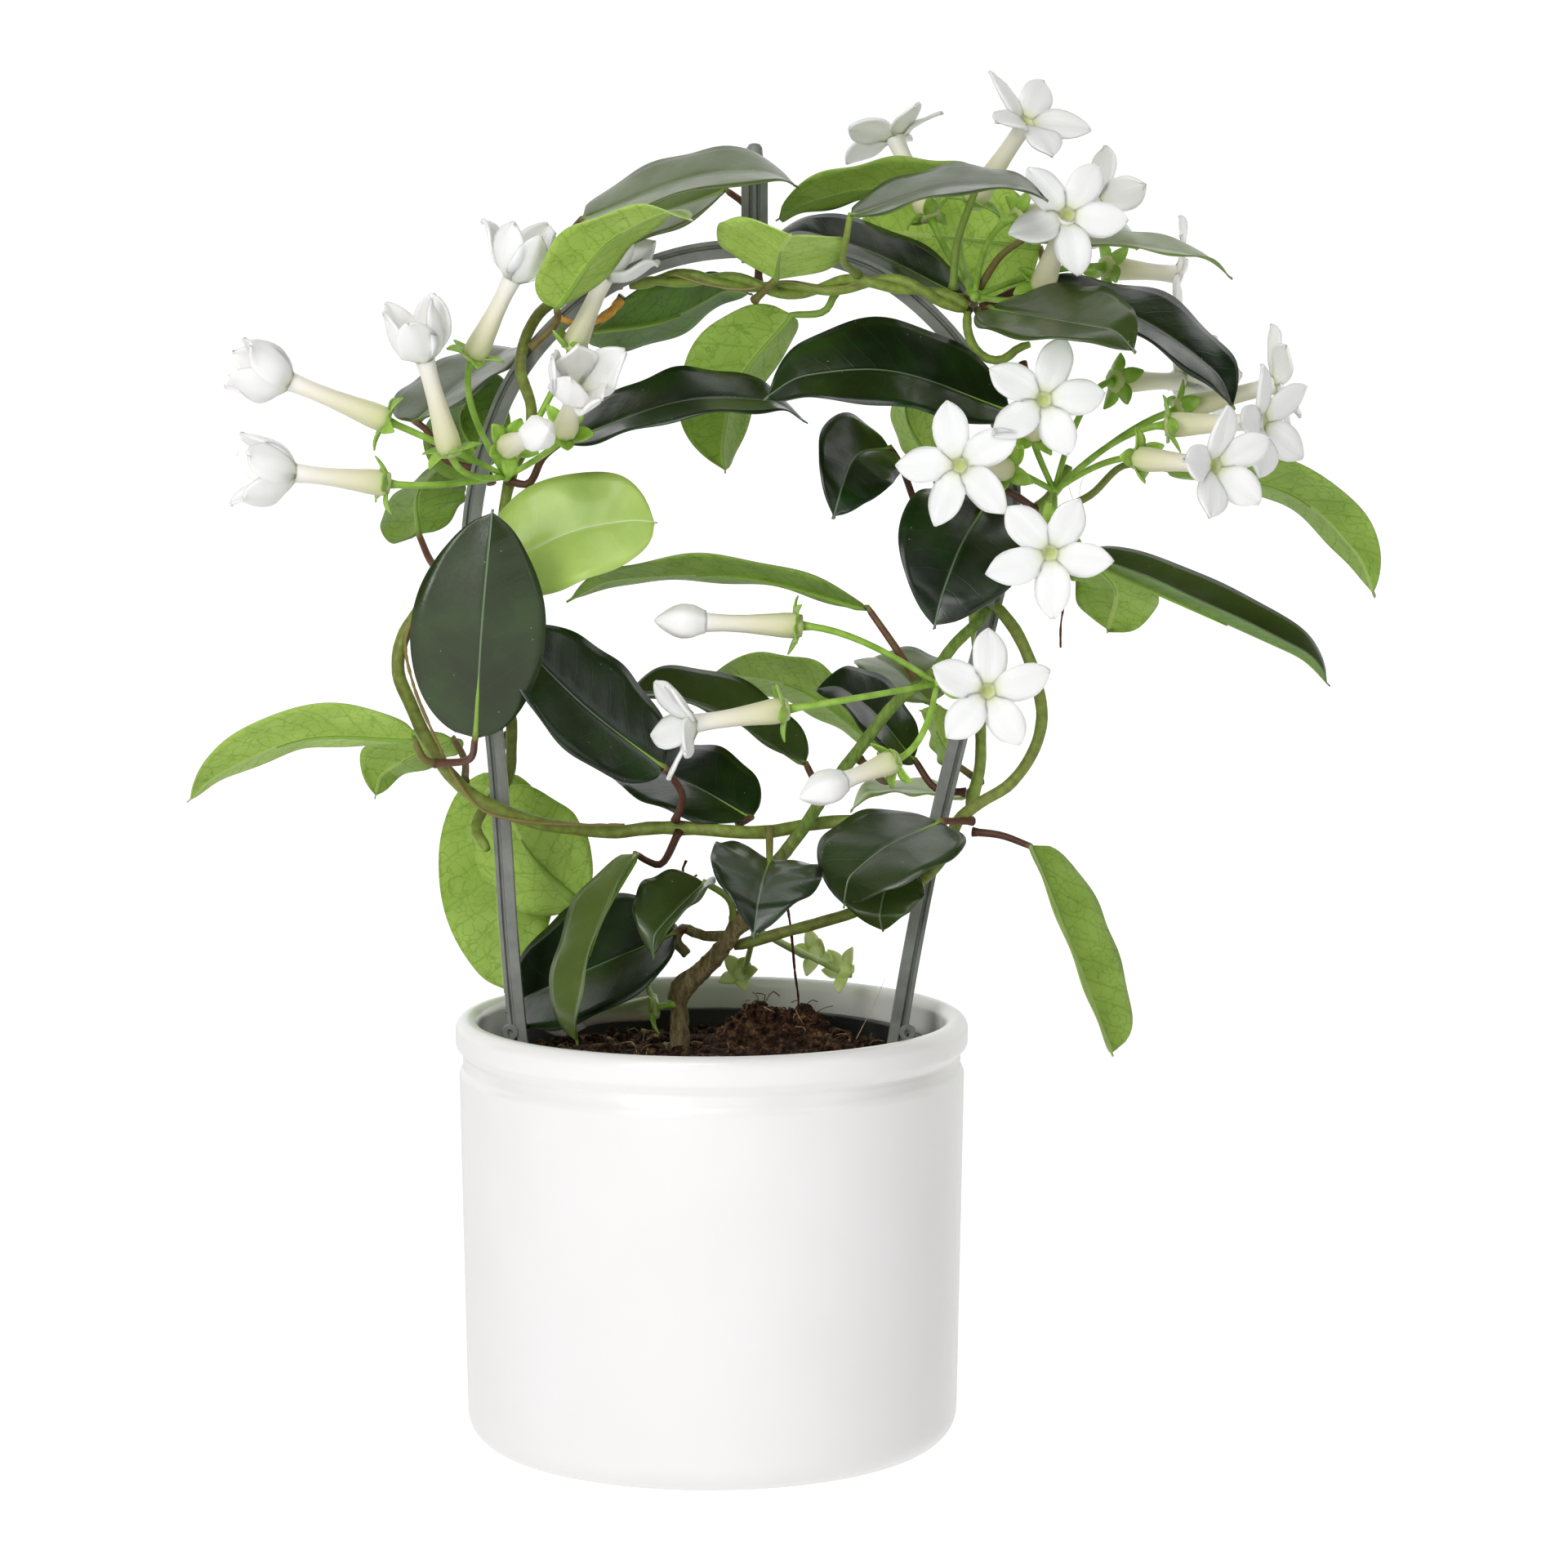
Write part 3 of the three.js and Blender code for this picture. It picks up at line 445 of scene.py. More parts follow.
def leaf_upper(node):
    """Upper skin of the leaf: leathery and waxed, with a sunken pale midrib and faint side veins."""
    coords, across, from_vein = leaf_maps(node)
    age = node("Attribute", {}, "Fac", **AGE)
    edge = node("Attribute", {}, "Fac", attribute_name="edge")
    clouds = grain(node, 14 * MM)
    old = node("ValToRGB", {"Fac": clouds}, stops=[(0.3, "#0A1706"), (0.5, "#0F2009"), (0.72, "#19340E")])
    young = node("ValToRGB", {"Fac": clouds}, stops=[(0.3, "#9DBC52"), (0.5, "#AAC75E"), (0.72, "#B8D36E")])
    skin = node("Mix", {0: age, 6: old, 7: young}, 2, **COLOURS)
    pale = node("ValToRGB", {"Fac": age}, stops=[(0.0, "#74896A"), (0.3, "#8FA877"), (1.0, "#D3E0AE")])

    veins = node("MapRange", {"Value": from_vein, "From Min": 0.012, "From Max": 0.05, **FALLING}, **SMOOTH)
    rib_line = {"Value": across, "From Min": 0.12 * MM, "From Max": 0.38 * MM, **FALLING}
    rib = node("MapRange", rib_line, **SMOOTH)
    rim = node("MapRange", {"Value": edge, "From Min": 0.955, "From Max": 1.0})
    skin = over(node, skin, pale, node("Math", {0: veins, 1: grain(node, 9 * MM, 2)}, **TIMES), 0.05)
    skin = over(node, skin, pale, rib, 0.7)
    skin = over(node, skin, pale, rim, 0.08)

    specks = node("TexVoronoi", {"Vector": coords, "Scale": MAP_SIZE / DUST_SPACING}).node.outputs
    speck = {"Value": specks["Distance"], "From Min": 0.03, "From Max": 0.07, **FALLING}
    chosen = node("Math", {0: specks["Color"], 1: 0.62}, operation="GREATER_THAN")
    skin = over(node, skin, linear("#B9C2AE"), node("MapRange", speck, **SMOOTH), chosen)

    rough = node("MapRange", {"Value": grain(node, 5 * MM, 4), "To Min": 0.22, "To Max": 0.42})
    duller = node("Math", {0: age, 1: 0.16}, **TIMES)
    sunk_veins = node("Math", {0: veins, 1: -0.2}, **TIMES)
    sunk_rib = node("Math", {0: rib, 1: -1.0}, **TIMES)
    sunken = node("Math", {0: sunk_veins, 1: sunk_rib}, **PLUS)
    fine = node("Math", {0: grain(node, 1.6 * MM), 1: 0.6}, **TIMES)
    height = node("Math", {0: sunken, 1: fine}, **PLUS)
    return {
        "Base Color": skin, "Roughness": node("Math", {0: rough, 1: duller}, **PLUS),
        "Normal": node("Bump", {"Strength": 0.8, "Distance": 0.12 * MM, "Height": height}),
        "IOR": 1.5, "Coat Weight": 0.2, "Coat Roughness": 0.14, "Coat IOR": 1.5,
    }


def leaf_under(node):
    """Underside of the leaf: matt, lighter, with raised midrib and a net of darker veins; its young colours
    are partly painted light shining through the blade.
    """
    coords, across, from_vein = leaf_maps(node)
    age = node("Attribute", {}, "Fac", **AGE)
    ripple = node("TexNoise", {"Vector": coords, "Scale": MAP_SIZE / (5 * MM), "Detail": 2}, "Color")
    bent = node("Mix", {0: 0.035, 6: coords, 7: ripple}, 2, **COLOURS, blend_type="LINEAR_LIGHT")
    cell = {"Vector": bent, "Scale": MAP_SIZE / NET_CELL}
    cells = node("TexVoronoi", cell, "Distance", feature="DISTANCE_TO_EDGE")
    net = node("MapRange", {"Value": cells, "From Min": 0.01, "From Max": 0.06, **FALLING}, **SMOOTH)
    net = node("Math", {0: net, 1: grain(node, 8 * MM, 2)}, **TIMES)
    veins = node("MapRange", {"Value": from_vein, "From Min": 0.02, "From Max": 0.09, **FALLING}, **SMOOTH)
    rib_line = {"Value": across, "From Min": 0.35 * MM, "From Max": 0.9 * MM, **FALLING}
    rib = node("MapRange", rib_line, **SMOOTH)

    clouds = grain(node, 12 * MM)
    old = node("ValToRGB", {"Fac": clouds}, stops=[(0.3, "#4C6C1F"), (0.7, "#628A2C")])
    # young: partly the young leaf's own pale green, partly painted light shining through the blade
    young = node("ValToRGB", {"Fac": clouds}, stops=[(0.3, "#A4C650"), (0.7, "#BBDA68")])
    dark = node("ValToRGB", {"Fac": age}, stops=[(0.0, "#2E4C18"), (1.0, "#74A030")])
    pale = node("ValToRGB", {"Fac": age}, stops=[(0.0, "#93AE57"), (1.0, "#C0D87C")])
    skin = node("Mix", {0: age, 6: old, 7: young}, 2, **COLOURS)
    skin = over(node, skin, dark, net, 0.8)
    skin = over(node, skin, dark, veins, 0.3)
    skin = over(node, skin, pale, rib, 0.7)
    height = node("Math", {0: rib, 1: node("Math", {0: net, 1: 0.5}, **TIMES)}, **MINUS)
    return {
        "Base Color": skin, "Roughness": 0.52, "IOR": 1.42, "Specular IOR Level": 0.3,
        "Normal": node("Bump", {"Strength": 0.8, "Distance": 0.15 * MM, "Height": height}),
    }


def leaf_stalk(node):
    """Leaf stalk: red brown on old leaves, olive on young ones, slightly waxy."""
    age = node("Attribute", {}, "Fac", **AGE)
    shift = node("Math", {0: grain(node, 2.5 * MM), 1: 0.5}, **MINUS)
    shift = node("Math", {0: shift, 1: 0.4}, **TIMES)
    tone = node("ValToRGB", {"Fac": node("Math", {0: age, 1: shift}, **PLUS)}, stops=[
        (0.0, "#4A2A20"), (0.3, "#68432F"), (0.55, "#77703A"), (1.0, "#88AC45"),
    ])
    relief = node("Bump", {"Strength": 1, "Distance": 0.12 * MM, "Height": grain(node, 0.7 * MM, 4)})
    return {"Base Color": tone, "Normal": relief, "Roughness": 0.5, "IOR": 1.42}


def petal(node):
    """Corolla lobe: thick waxy white flesh with a soft glow and faint lengthways veins."""
    tone = node("ValToRGB", {"Fac": node("Attribute", {}, "Fac", **AGE)}, stops=[
        (0.0, "#CFD6A0"), (0.12, "#DDE2BC"), (0.24, "#F3F3EA"), (0.38, "#FAF9F6"), (1.0, "#FCFAF7"),
    ])
    coords = node("UVMap", {}, uv_map="UVMap")
    drawn = node("Mapping", {"Vector": coords, "Scale": (1, 0.14, 1)})
    veins = node("TexNoise", {"Vector": drawn, "Scale": MAP_SIZE / (0.9 * MM), "Detail": 2}, "Fac")
    return {
        "Base Color": tone, "Roughness": 0.42, "IOR": 1.4,
        "Subsurface Weight": 0.6, "Subsurface Radius": (1.0, 0.92, 0.8), "Subsurface Scale": 3.0 * MM,
        "Normal": node("Bump", {"Strength": 0.7, "Distance": 0.14 * MM, "Height": veins}),
    }


def flower_tube(node):
    """Corolla tube: cream, greenish at its foot, smooth and waxy, white at the mouth."""
    tone = node("ValToRGB", {"Fac": node("Attribute", {}, "Fac", **AGE)}, stops=[
        (0.0, "#BFCB86"), (0.1, "#D6D6A8"), (0.5, "#E4E0C6"), (0.8, "#EFEBDE"), (1.0, "#F7F4F0"),
    ])
    return {
        "Base Color": tone, "Roughness": 0.42, "IOR": 1.4,
        "Subsurface Weight": 0.2, "Subsurface Radius": (1.0, 0.9, 0.6), "Subsurface Scale": 1.5 * MM,
        "Normal": node("Bump", {"Strength": 1, "Distance": 0.08 * MM, "Height": grain(node, 1.0 * MM)}),
    }


def calyx_skin(node):
    """Calyx and flower stalk: fresh light green, smooth, soft gloss; the fresh colours are partly painted
    light that lifts the shaded side and shines through the thin leaflets.
    """
    clouds = grain(node, 4 * MM, 4)
    grown = node("ValToRGB", {"Fac": clouds}, stops=[(0.3, "#7FA935"), (0.55, "#98C04B"), (0.75, "#AFD066")])
    # fresh: the bare young calyxes' own pale green, made lighter still with painted light through the
    # leaflets and on their shaded side
    fresh = node("ValToRGB", {"Fac": clouds}, stops=[(0.3, "#D2E685"), (0.7, "#EEF6C6")])
    age = node("Attribute", {}, "Fac", **AGE)
    tone = node("Mix", {0: age, 6: grown, 7: fresh}, 2, **COLOURS)
    relief = node("Bump", {"Strength": 1, "Distance": 0.1 * MM, "Height": grain(node, 0.9 * MM)})
    return {"Base Color": tone, "Normal": relief, "Roughness": 0.42, "IOR": 1.42}


def lit_acrylic(node, light):
    """Opal acrylic lit from behind: plain white to the eye, without shadow, and a soft even light."""
    seen = node("LightPath", {}, "Is Camera Ray")
    tone = node("ValToRGB", {"Fac": grain(node, 0.4, 1)}, stops=[(0.3, "#7D7D7D"), (0.7, "#7F7F7F")])
    return {
        "Base Color": tone, "Roughness": 0.7, "Specular IOR Level": 0.1, "Emission Color": (1, 1, 1, 1),
        "Emission Strength": node("MapRange", {"Value": seen, "To Min": light, "To Max": 1}),
    }


GLAZE = surface("glazed_stoneware_white", glaze)
BLACK_PLASTIC = surface("thermoformed_polypropylene_black", black_plastic)
GREY_PLASTIC = surface("moulded_polypropylene_grey", grey_plastic)
PEAT = surface("peat_substrate_loose", peat)
FIBRE = surface("coconut_fibre_dry", fibre)
YELLOWED_STALK = surface("jasmine_stalk_yellowed", yellowed_stalk)
PERLITE = surface("perlite_expanded", perlite)
STEM = surface("jasmine_stem_skin", stem)
BARK = surface("jasmine_bark_corky", bark)
LEAF_UPPER = surface("jasmine_leaf_upper_waxed", leaf_upper)
LEAF_UNDER = surface("jasmine_leaf_underside", leaf_under)
LEAF_STALK = surface("jasmine_leaf_stalk", leaf_stalk)
PETAL = surface("jasmine_petal_waxy", petal)
FLOWER_TUBE = surface("jasmine_flower_tube", flower_tube)
CALYX = surface("jasmine_calyx_green", calyx_skin)


# ---------------------------------------------------------------- pots
POT_RIM_R = 70.98 * MM
POT_BODY_R = 70 * MM
POT_FOOT_R = 68.3 * MM
POT_HEIGHT = 119 * MM
POT_WALL = 6.5 * MM
POT_FLOOR = 6 * MM
POT_CORNER_R = 9 * MM
RIM_HEIGHT = 9 * MM
GROOVE_R = 1.9 * MM            # the hollow below the rim band
SHOULDER_R = 3.4 * MM          # the rounding below that hollow
INNER_CORNER_R = 6 * MM
FOOT_RING_HEIGHT = 1.2 * MM
POT_SIDES = 128

GROW_RIM_R = 60.5 * MM
GROW_FOOT_R = 46 * MM
GROW_RIM_Z = 111 * MM
GROW_WALL = 1 * MM
GROW_LIP = 2 * MM
GROW_LIP_HEIGHT = 5 * MM
GROW_CURL_R = 0.6 * MM         # rounding of the lip
GROW_SIDES = 96
GAP = 0.3 * MM
SAME_SPOT = 1e-6               # points closer than this are one


def arc(centre_r, centre_z, radius, start, end, count):
    """Points of an arc in a turned profile, angles in degrees from the outward direction."""
    turns = [math.radians(mix(start, end, i / count)) for i in range(count + 1)]
    return [(centre_r + radius * math.cos(t), centre_z + radius * math.sin(t)) for t in turns]


def turned(profile, sides):
    """A profile of (radius, height) points spun about the pot's axis."""
    bm = new_mesh()
    verts = [bm.verts.new((r, 0, z)) for r, z in profile]
    edges = [bm.edges.new(pair) for pair in zip(verts, verts[1:])]
    bmesh.ops.spin(
        bm, geom=[*verts, *edges], cent=(0, 0, 0), axis=SKY, angle=math.tau, steps=sides, use_merge=True,
    )
    bmesh.ops.remove_doubles(bm, verts=list(bm.verts), dist=SAME_SPOT)
    bmesh.ops.recalc_face_normals(bm, faces=list(bm.faces))
    paint(bm.faces, 0)
    return bm


def make_cover_pot():
    rim_round = POT_WALL / 2
    groove_z = POT_HEIGHT - RIM_HEIGHT - 2 * MM
    inner_r = POT_RIM_R - POT_WALL
    foot_ring_r = POT_FOOT_R - POT_CORNER_R
    body = [(mix(POT_FOOT_R, POT_BODY_R, t), mix(POT_CORNER_R, groove_z - 5 * MM, t)) for t in (0.33, 0.66)]
    groove = arc(POT_BODY_R - SHOULDER_R, groove_z - 5.2 * MM, SHOULDER_R, 0, 50, 5)
    groove += arc(POT_BODY_R + 0.6 * MM, groove_z + 0.6 * MM, GROOVE_R, 215, 165, 5)
    profile = [
        (0, FOOT_RING_HEIGHT), (foot_ring_r - 5 * MM, FOOT_RING_HEIGHT),
        (foot_ring_r - 3.5 * MM, 0), (foot_ring_r - 1 * MM, 0),
        *arc(foot_ring_r, POT_CORNER_R, POT_CORNER_R, -86, 0, 10),
        *body, *groove,
        *arc(POT_RIM_R - rim_round, groove_z + 4.4 * MM, rim_round, -25, 0, 3),
        *arc(POT_RIM_R - rim_round, POT_HEIGHT - rim_round, rim_round, 0, 180, 16),
        (inner_r - 0.4 * MM, 80 * MM), (inner_r - 1 * MM, 40 * MM),
        *arc(inner_r - 7 * MM, POT_FLOOR + INNER_CORNER_R, INNER_CORNER_R, 0, -90, 6),
        (0, POT_FLOOR),
    ]
    finish_piece(turned(profile, POT_SIDES), "cover_pot_glazed", [GLAZE], ["cover_pot"])


def make_grow_pot():
    floor_z = POT_FLOOR + GAP
    lip_r = GROW_RIM_R - GROW_LIP
    lip_z = GROW_RIM_Z - GROW_LIP_HEIGHT
    curl = GROW_CURL_R
    profile = [
        (0, floor_z), (GROW_FOOT_R - 2 * MM, floor_z), (GROW_FOOT_R, floor_z + 2 * MM),
        (lip_r - 0.3 * MM, lip_z - 1 * MM), (lip_r, lip_z), (GROW_RIM_R - curl, lip_z),
        *arc(GROW_RIM_R - curl, GROW_RIM_Z - curl, curl, 0, 90, 4),
        (lip_r - GROW_WALL + curl, GROW_RIM_Z),
        *arc(lip_r - GROW_WALL + curl, GROW_RIM_Z - curl, curl, 90, 180, 4),
        (GROW_FOOT_R - GROW_WALL, floor_z + 2.5 * MM), (GROW_FOOT_R - 2.5 * MM, floor_z + GROW_WALL),
        (0, floor_z + GROW_WALL),
    ]
    bm = turned(profile, GROW_SIDES)
    finish_piece(bm, "grow_pot_black", [BLACK_PLASTIC], ["grow_pot"])


# ---------------------------------------------------------------- soil
SOIL_R = 57 * MM              # where the soil meets the grow pot's wall
SOIL_FOOT_R = 44.7 * MM
SOIL_FOOT_Z = 7.6 * MM
SOIL_LEVEL = 105.5 * MM
SOIL_MOUNDS = [               # (across, back, height, spread) of the lumps on the soil, in mm
    (12, 22, 9.5, 8), (26, 20, 8.5, 8), (34, 2, 3, 9), (2, -12, 3.5, 11), (-25, -15, 3, 13),
    (18, -25, 3.5, 13),
]
SOIL_RINGS = 26
SOIL_SIDES = 84
CRUMBS = 850
FIBRES = 170
PERLITE_GRAINS = 26


def soil_height(x, y):
    """Height of the soil's surface: level at the wall, lumpy within."""
    height = SOIL_LEVEL + 2.2 * MM * (1 - (x * x + y * y) / SOIL_R ** 2)
    for across, back, rise, spread in SOIL_MOUNDS:
        off = (x / MM - across) ** 2 + (y / MM - back) ** 2
        height += rise * MM * math.exp(-off / (2 * (spread * 0.7) ** 2))
    place = Vector((x, y, 0))
    height += 1.5 * MM * noise.noise(place / (9 * MM)) + 0.9 * MM * noise.noise(place / (3 * MM))
    return height


def soil_spot(reach=0.97):
    """A random place on the soil, evenly spread."""
    turn = chance.uniform(0, math.tau)
    away = SOIL_R * reach * math.sqrt(chance.random())
    x, y = away * math.cos(turn), away * math.sin(turn)
    return Vector((x, y, soil_height(x, y)))


def mound_spot(mounds, scatter):
    """A random place near one of the first mounds."""
    across, back, _, spread = SOIL_MOUNDS[chance.randrange(mounds)]
    x = (across + chance.gauss(0, spread * scatter)) * MM
    y = (back + chance.gauss(0, spread * scatter)) * MM
    return Vector((x, y, soil_height(x, y)))


def make_soil():
    top = [(SOIL_R * i / SOIL_RINGS, SOIL_LEVEL) for i in range(SOIL_RINGS + 1)]
    profile = [*top, (SOIL_R - 0.4 * MM, SOIL_LEVEL - 4 * MM), (SOIL_FOOT_R, SOIL_FOOT_Z), (0, SOIL_FOOT_Z)]
    bm = turned(profile, SOIL_SIDES)
    for vert in bm.verts:
        if abs(vert.co.z - SOIL_LEVEL) < SAME_SPOT:
            vert.co.z = soil_height(vert.co.x, vert.co.y)
    finish_piece(bm, "peat_block", [PEAT], ["soil"])


def make_crumbs():
    """Loose crumbs of peat, thickest on the lumps, and a few pale grains."""
    bm = new_mesh()
    for i in range(CRUMBS + PERLITE_GRAINS):
        pale = i >= CRUMBS
        spot = soil_spot()
        if chance.random() < 0.3 and not pale:
            near = mound_spot(3, 0.6)
            if near.xy.length < SOIL_R * 0.96:
                spot = near
        size = chance.uniform(0.6, 1.25) if pale else 0.45 + 1.7 * chance.random() ** 2
        verts = bmesh.ops.create_icosphere(bm, subdivisions=1, radius=size * MM)["verts"]
        shape = Vector((chance.uniform(0.7, 1.5), chance.uniform(0.7, 1.2), chance.uniform(0.5, 0.9)))
        bmesh.ops.scale(bm, vec=shape, verts=verts)
        for vert in verts:
            vert.co *= chance.uniform(0.72, 1.2)
        turn = Matrix.Rotation(chance.uniform(0, math.tau), 3, chance_way())
        bmesh.ops.rotate(bm, matrix=turn, verts=verts)
        bmesh.ops.translate(bm, vec=spot + SKY * size * 0.25 * MM, verts=verts)
        paint(around(verts, "link_faces"), 1 if pale else 0, smooth=pale)
    finish_piece(bm, "peat_crumbs", [PEAT, PERLITE])


def chance_way():
    way = Vector((chance.gauss(0, 1), chance.gauss(0, 1), chance.gauss(0, 1)))
    return way.normalized()


def make_fibres():
    """Short dry fibres that lie in the peat or stick out of it."""
    bm = new_mesh()
    for _ in range(FIBRES):
        spot = soil_spot(0.93)
        if chance.random() < 0.5:
            spot = mound_spot(2, 0.7)
        reach = chance.uniform(2.5, 8) * MM
        way = chance_way()
        way.z = abs(way.z) * 0.45 + 0.08
        bend = chance_way() * reach * 0.35
        bend.z = abs(bend.z)
        stops = [spot - SKY * 0.6 * MM, spot + way * reach * 0.5 + bend, spot + way * reach]
        line = frames(run(stops, reach / 4), Vector((0.3, 0.5, 0.8)))
        thick = chance.uniform(0.09, 0.2) * MM
        age = chance.random() ** 1.5
        sweep(bm, line, [thick] * len(line), 4, 0, [age] * len(line))
    finish_piece(bm, "coconut_fibres", [FIBRE])


# ---------------------------------------------------------------- hoop
HOOP_ROOT_Z = 60
HOOP_LINE = [
    (-46, HOOP_ROOT_Z), (-53, 107), (-56, 140), (-58, 174), (-60, 199), (-63, 219), (-66, 241), (-65, 260),
    (-61, 277), (-55, 292), (-45, 306), (-28, 320), (-8, 328), (12, 330), (31, 328), (47, 322), (62, 310),
    (74, 294), (81, 275), (82, 255), (77, 232), (68, 196), (61.5, 168), (55.5, 137), (50.5, 107),
    (43, HOOP_ROOT_Z),
]
HOOP_WIDTH = 5.0 * MM
HOOP_DEPTH = 4.2 * MM
LUG_Z = 114.3 * MM
LUG_PLACES = (-55.9 * MM, 54.2 * MM)
LUG_R = 2.3 * MM
LUG_HOLE_R = 0.75 * MM
LUG_THICKNESS = 1.6 * MM
LUG_SIDES = 24
EDGE_ROUND = 0.22 * MM         # of every moulded edge
LUG_Y = -1.8 * MM              # the middle of its thickness, so that it stands proud of the leg
FINIAL_X = 12 * MM
FINIAL_FOOT_Z = 326 * MM
FINIAL_NECK_Z = 354.4 * MM
FINIAL_TOP_Z = 358.4 * MM
FINIAL_WIDTH = 7.2 * MM


def channel_outline():
    """The moulding's section in half sizes: smooth flanges, and a channel nearer its outer side."""
    right = [(1.0, -1.0), (1.0, 0.12), (0.35, 0.2), (0.35, 0.5), (0.85, 0.56), (0.85, 1.0)]
    return [*right, *[(-x, y) for x, y in reversed(right)]]


def finial_outline():
    """The top bar's section in half sizes: two narrow grooves with a rib between them."""
    right = [(1.0, -1.0), (1.0, -0.42), (0.4, -0.38), (0.4, -0.2), (0.85, -0.16)]
    side = [*right, *[(x, -y) for x, y in reversed(right)]]
    return [*side, *[(-x, -y) for x, y in side]]


def make_hoop():
    bm = new_mesh()
    line = run([Vector((x * MM, 0, z * MM)) for x, z in HOOP_LINE], 3.5 * MM)
    spots = frames(line, FRONT)
    size = (HOOP_WIDTH / 2, HOOP_DEPTH / 2)
    sweep(bm, spots, [size] * len(spots), outline=[(y, x) for x, y in channel_outline()], smooth=False)
    finial_z = [FINIAL_FOOT_Z, FINIAL_NECK_Z - 2 * MM, FINIAL_NECK_Z]
    bar = frames([Vector((FINIAL_X, 0, z)) for z in finial_z], FRONT)
    half = FINIAL_WIDTH / 2
    thick = HOOP_DEPTH / 2
    outline = [(y, x) for x, y in finial_outline()]
    sweep(bm, bar, [(half, thick), (half, thick), (half * 0.86, thick * 0.9)], outline=outline, smooth=False)
    nub_z = [FINIAL_NECK_Z - 0.5 * MM, FINIAL_TOP_Z - 1.2 * MM, FINIAL_TOP_Z - 0.3 * MM, FINIAL_TOP_Z]
    nub = frames([Vector((FINIAL_X, 0, z)) for z in nub_z], FRONT)
    sweep(bm, nub, [2.4 * MM, 2.1 * MM, 1.5 * MM, 0.6 * MM], 12)
    for x in LUG_PLACES:
        lug(bm, x)
    bmesh.ops.recalc_face_normals(bm, faces=list(bm.faces))
    piece = finish_piece(bm, "hoop_grey", [GREY_PLASTIC], ["support_hoop"])
    soften = piece.modifiers.new("moulded edges", "BEVEL")
    soften.width = EDGE_ROUND
    soften.segments = 2
    soften.limit_method = "ANGLE"
    soften.angle_limit = math.radians(40)


def lug(bm, x):
    """A round eye with a keyhole: two rings of points bridged, then thickened."""
    hole = bmesh.ops.create_circle(bm, segments=LUG_SIDES, radius=LUG_HOLE_R)["verts"]
    plate = bmesh.ops.create_circle(bm, segments=LUG_SIDES, radius=LUG_R)["verts"]
    for vert in hole:
        if vert.co.y < -0.3 * MM:
            vert.co.x *= 0.45
            vert.co.y -= 0.7 * MM
    faces = bmesh.ops.bridge_loops(bm, edges=around([*hole, *plate], "link_edges"))["faces"]
    solid = bmesh.ops.solidify(bm, geom=faces, thickness=LUG_THICKNESS)["geom"]
    verts = list(dict.fromkeys([*hole, *plate, *only(solid, "BMVert")]))
    middle = sum(vert.co.z for vert in verts) / len(verts)
    stand = Matrix.Translation((x, LUG_Y + middle, LUG_Z)) @ Matrix.Rotation(math.radians(90), 4, "X")
    bmesh.ops.transform(bm, matrix=stand, verts=verts)


# ---------------------------------------------------------------- trunk and vines
VINE_R = 1.55 * MM
SHOOT_R = 1.2 * MM
VINE_RADII = {"left_loop": 1.85 * MM, "right_loop": 1.65 * MM}      # the stouter stems
TRUNK_LINE = [
    (-9, 85, 8), (-9, 119, 8), (-9, 125, 7), (0, 134, 4), (8, 145, 0), (15, 157, 2), (26, 172, -2),
    (31, 180, -4), (40, 192, -4), (51, 206, -4), (60, 213, -6), (67, 222, -8), (73, 228, -8), (76, 232, -7),
]
LOW_BRANCH = [(5, 141, 3), (-2, 141, 6), (-8, 143, 6), (-10, 140, 6), (-7, 136, 7)]
HANGING_SHOOT = [
    (70, 313, -8), (70, 308, -8), (72, 303, -8), (76, 300, -8), (80, 300, -8), (84, 303, -8), (87, 304, -9),
]
TRUNK_RADII = [                # (part of the way up, radius)
    (0, 3.0), (0.13, 2.8), (0.2, 2.5), (0.235, 3.5), (0.27, 2.7), (0.36, 2.3), (0.44, 2.5), (0.5, 1.8),
    (1, 1.55),
]
TRUNK_AGES = [(0, 0.0), (0.36, 0.0), (0.48, 0.5), (0.56, 1.0), (1, 1.0)]

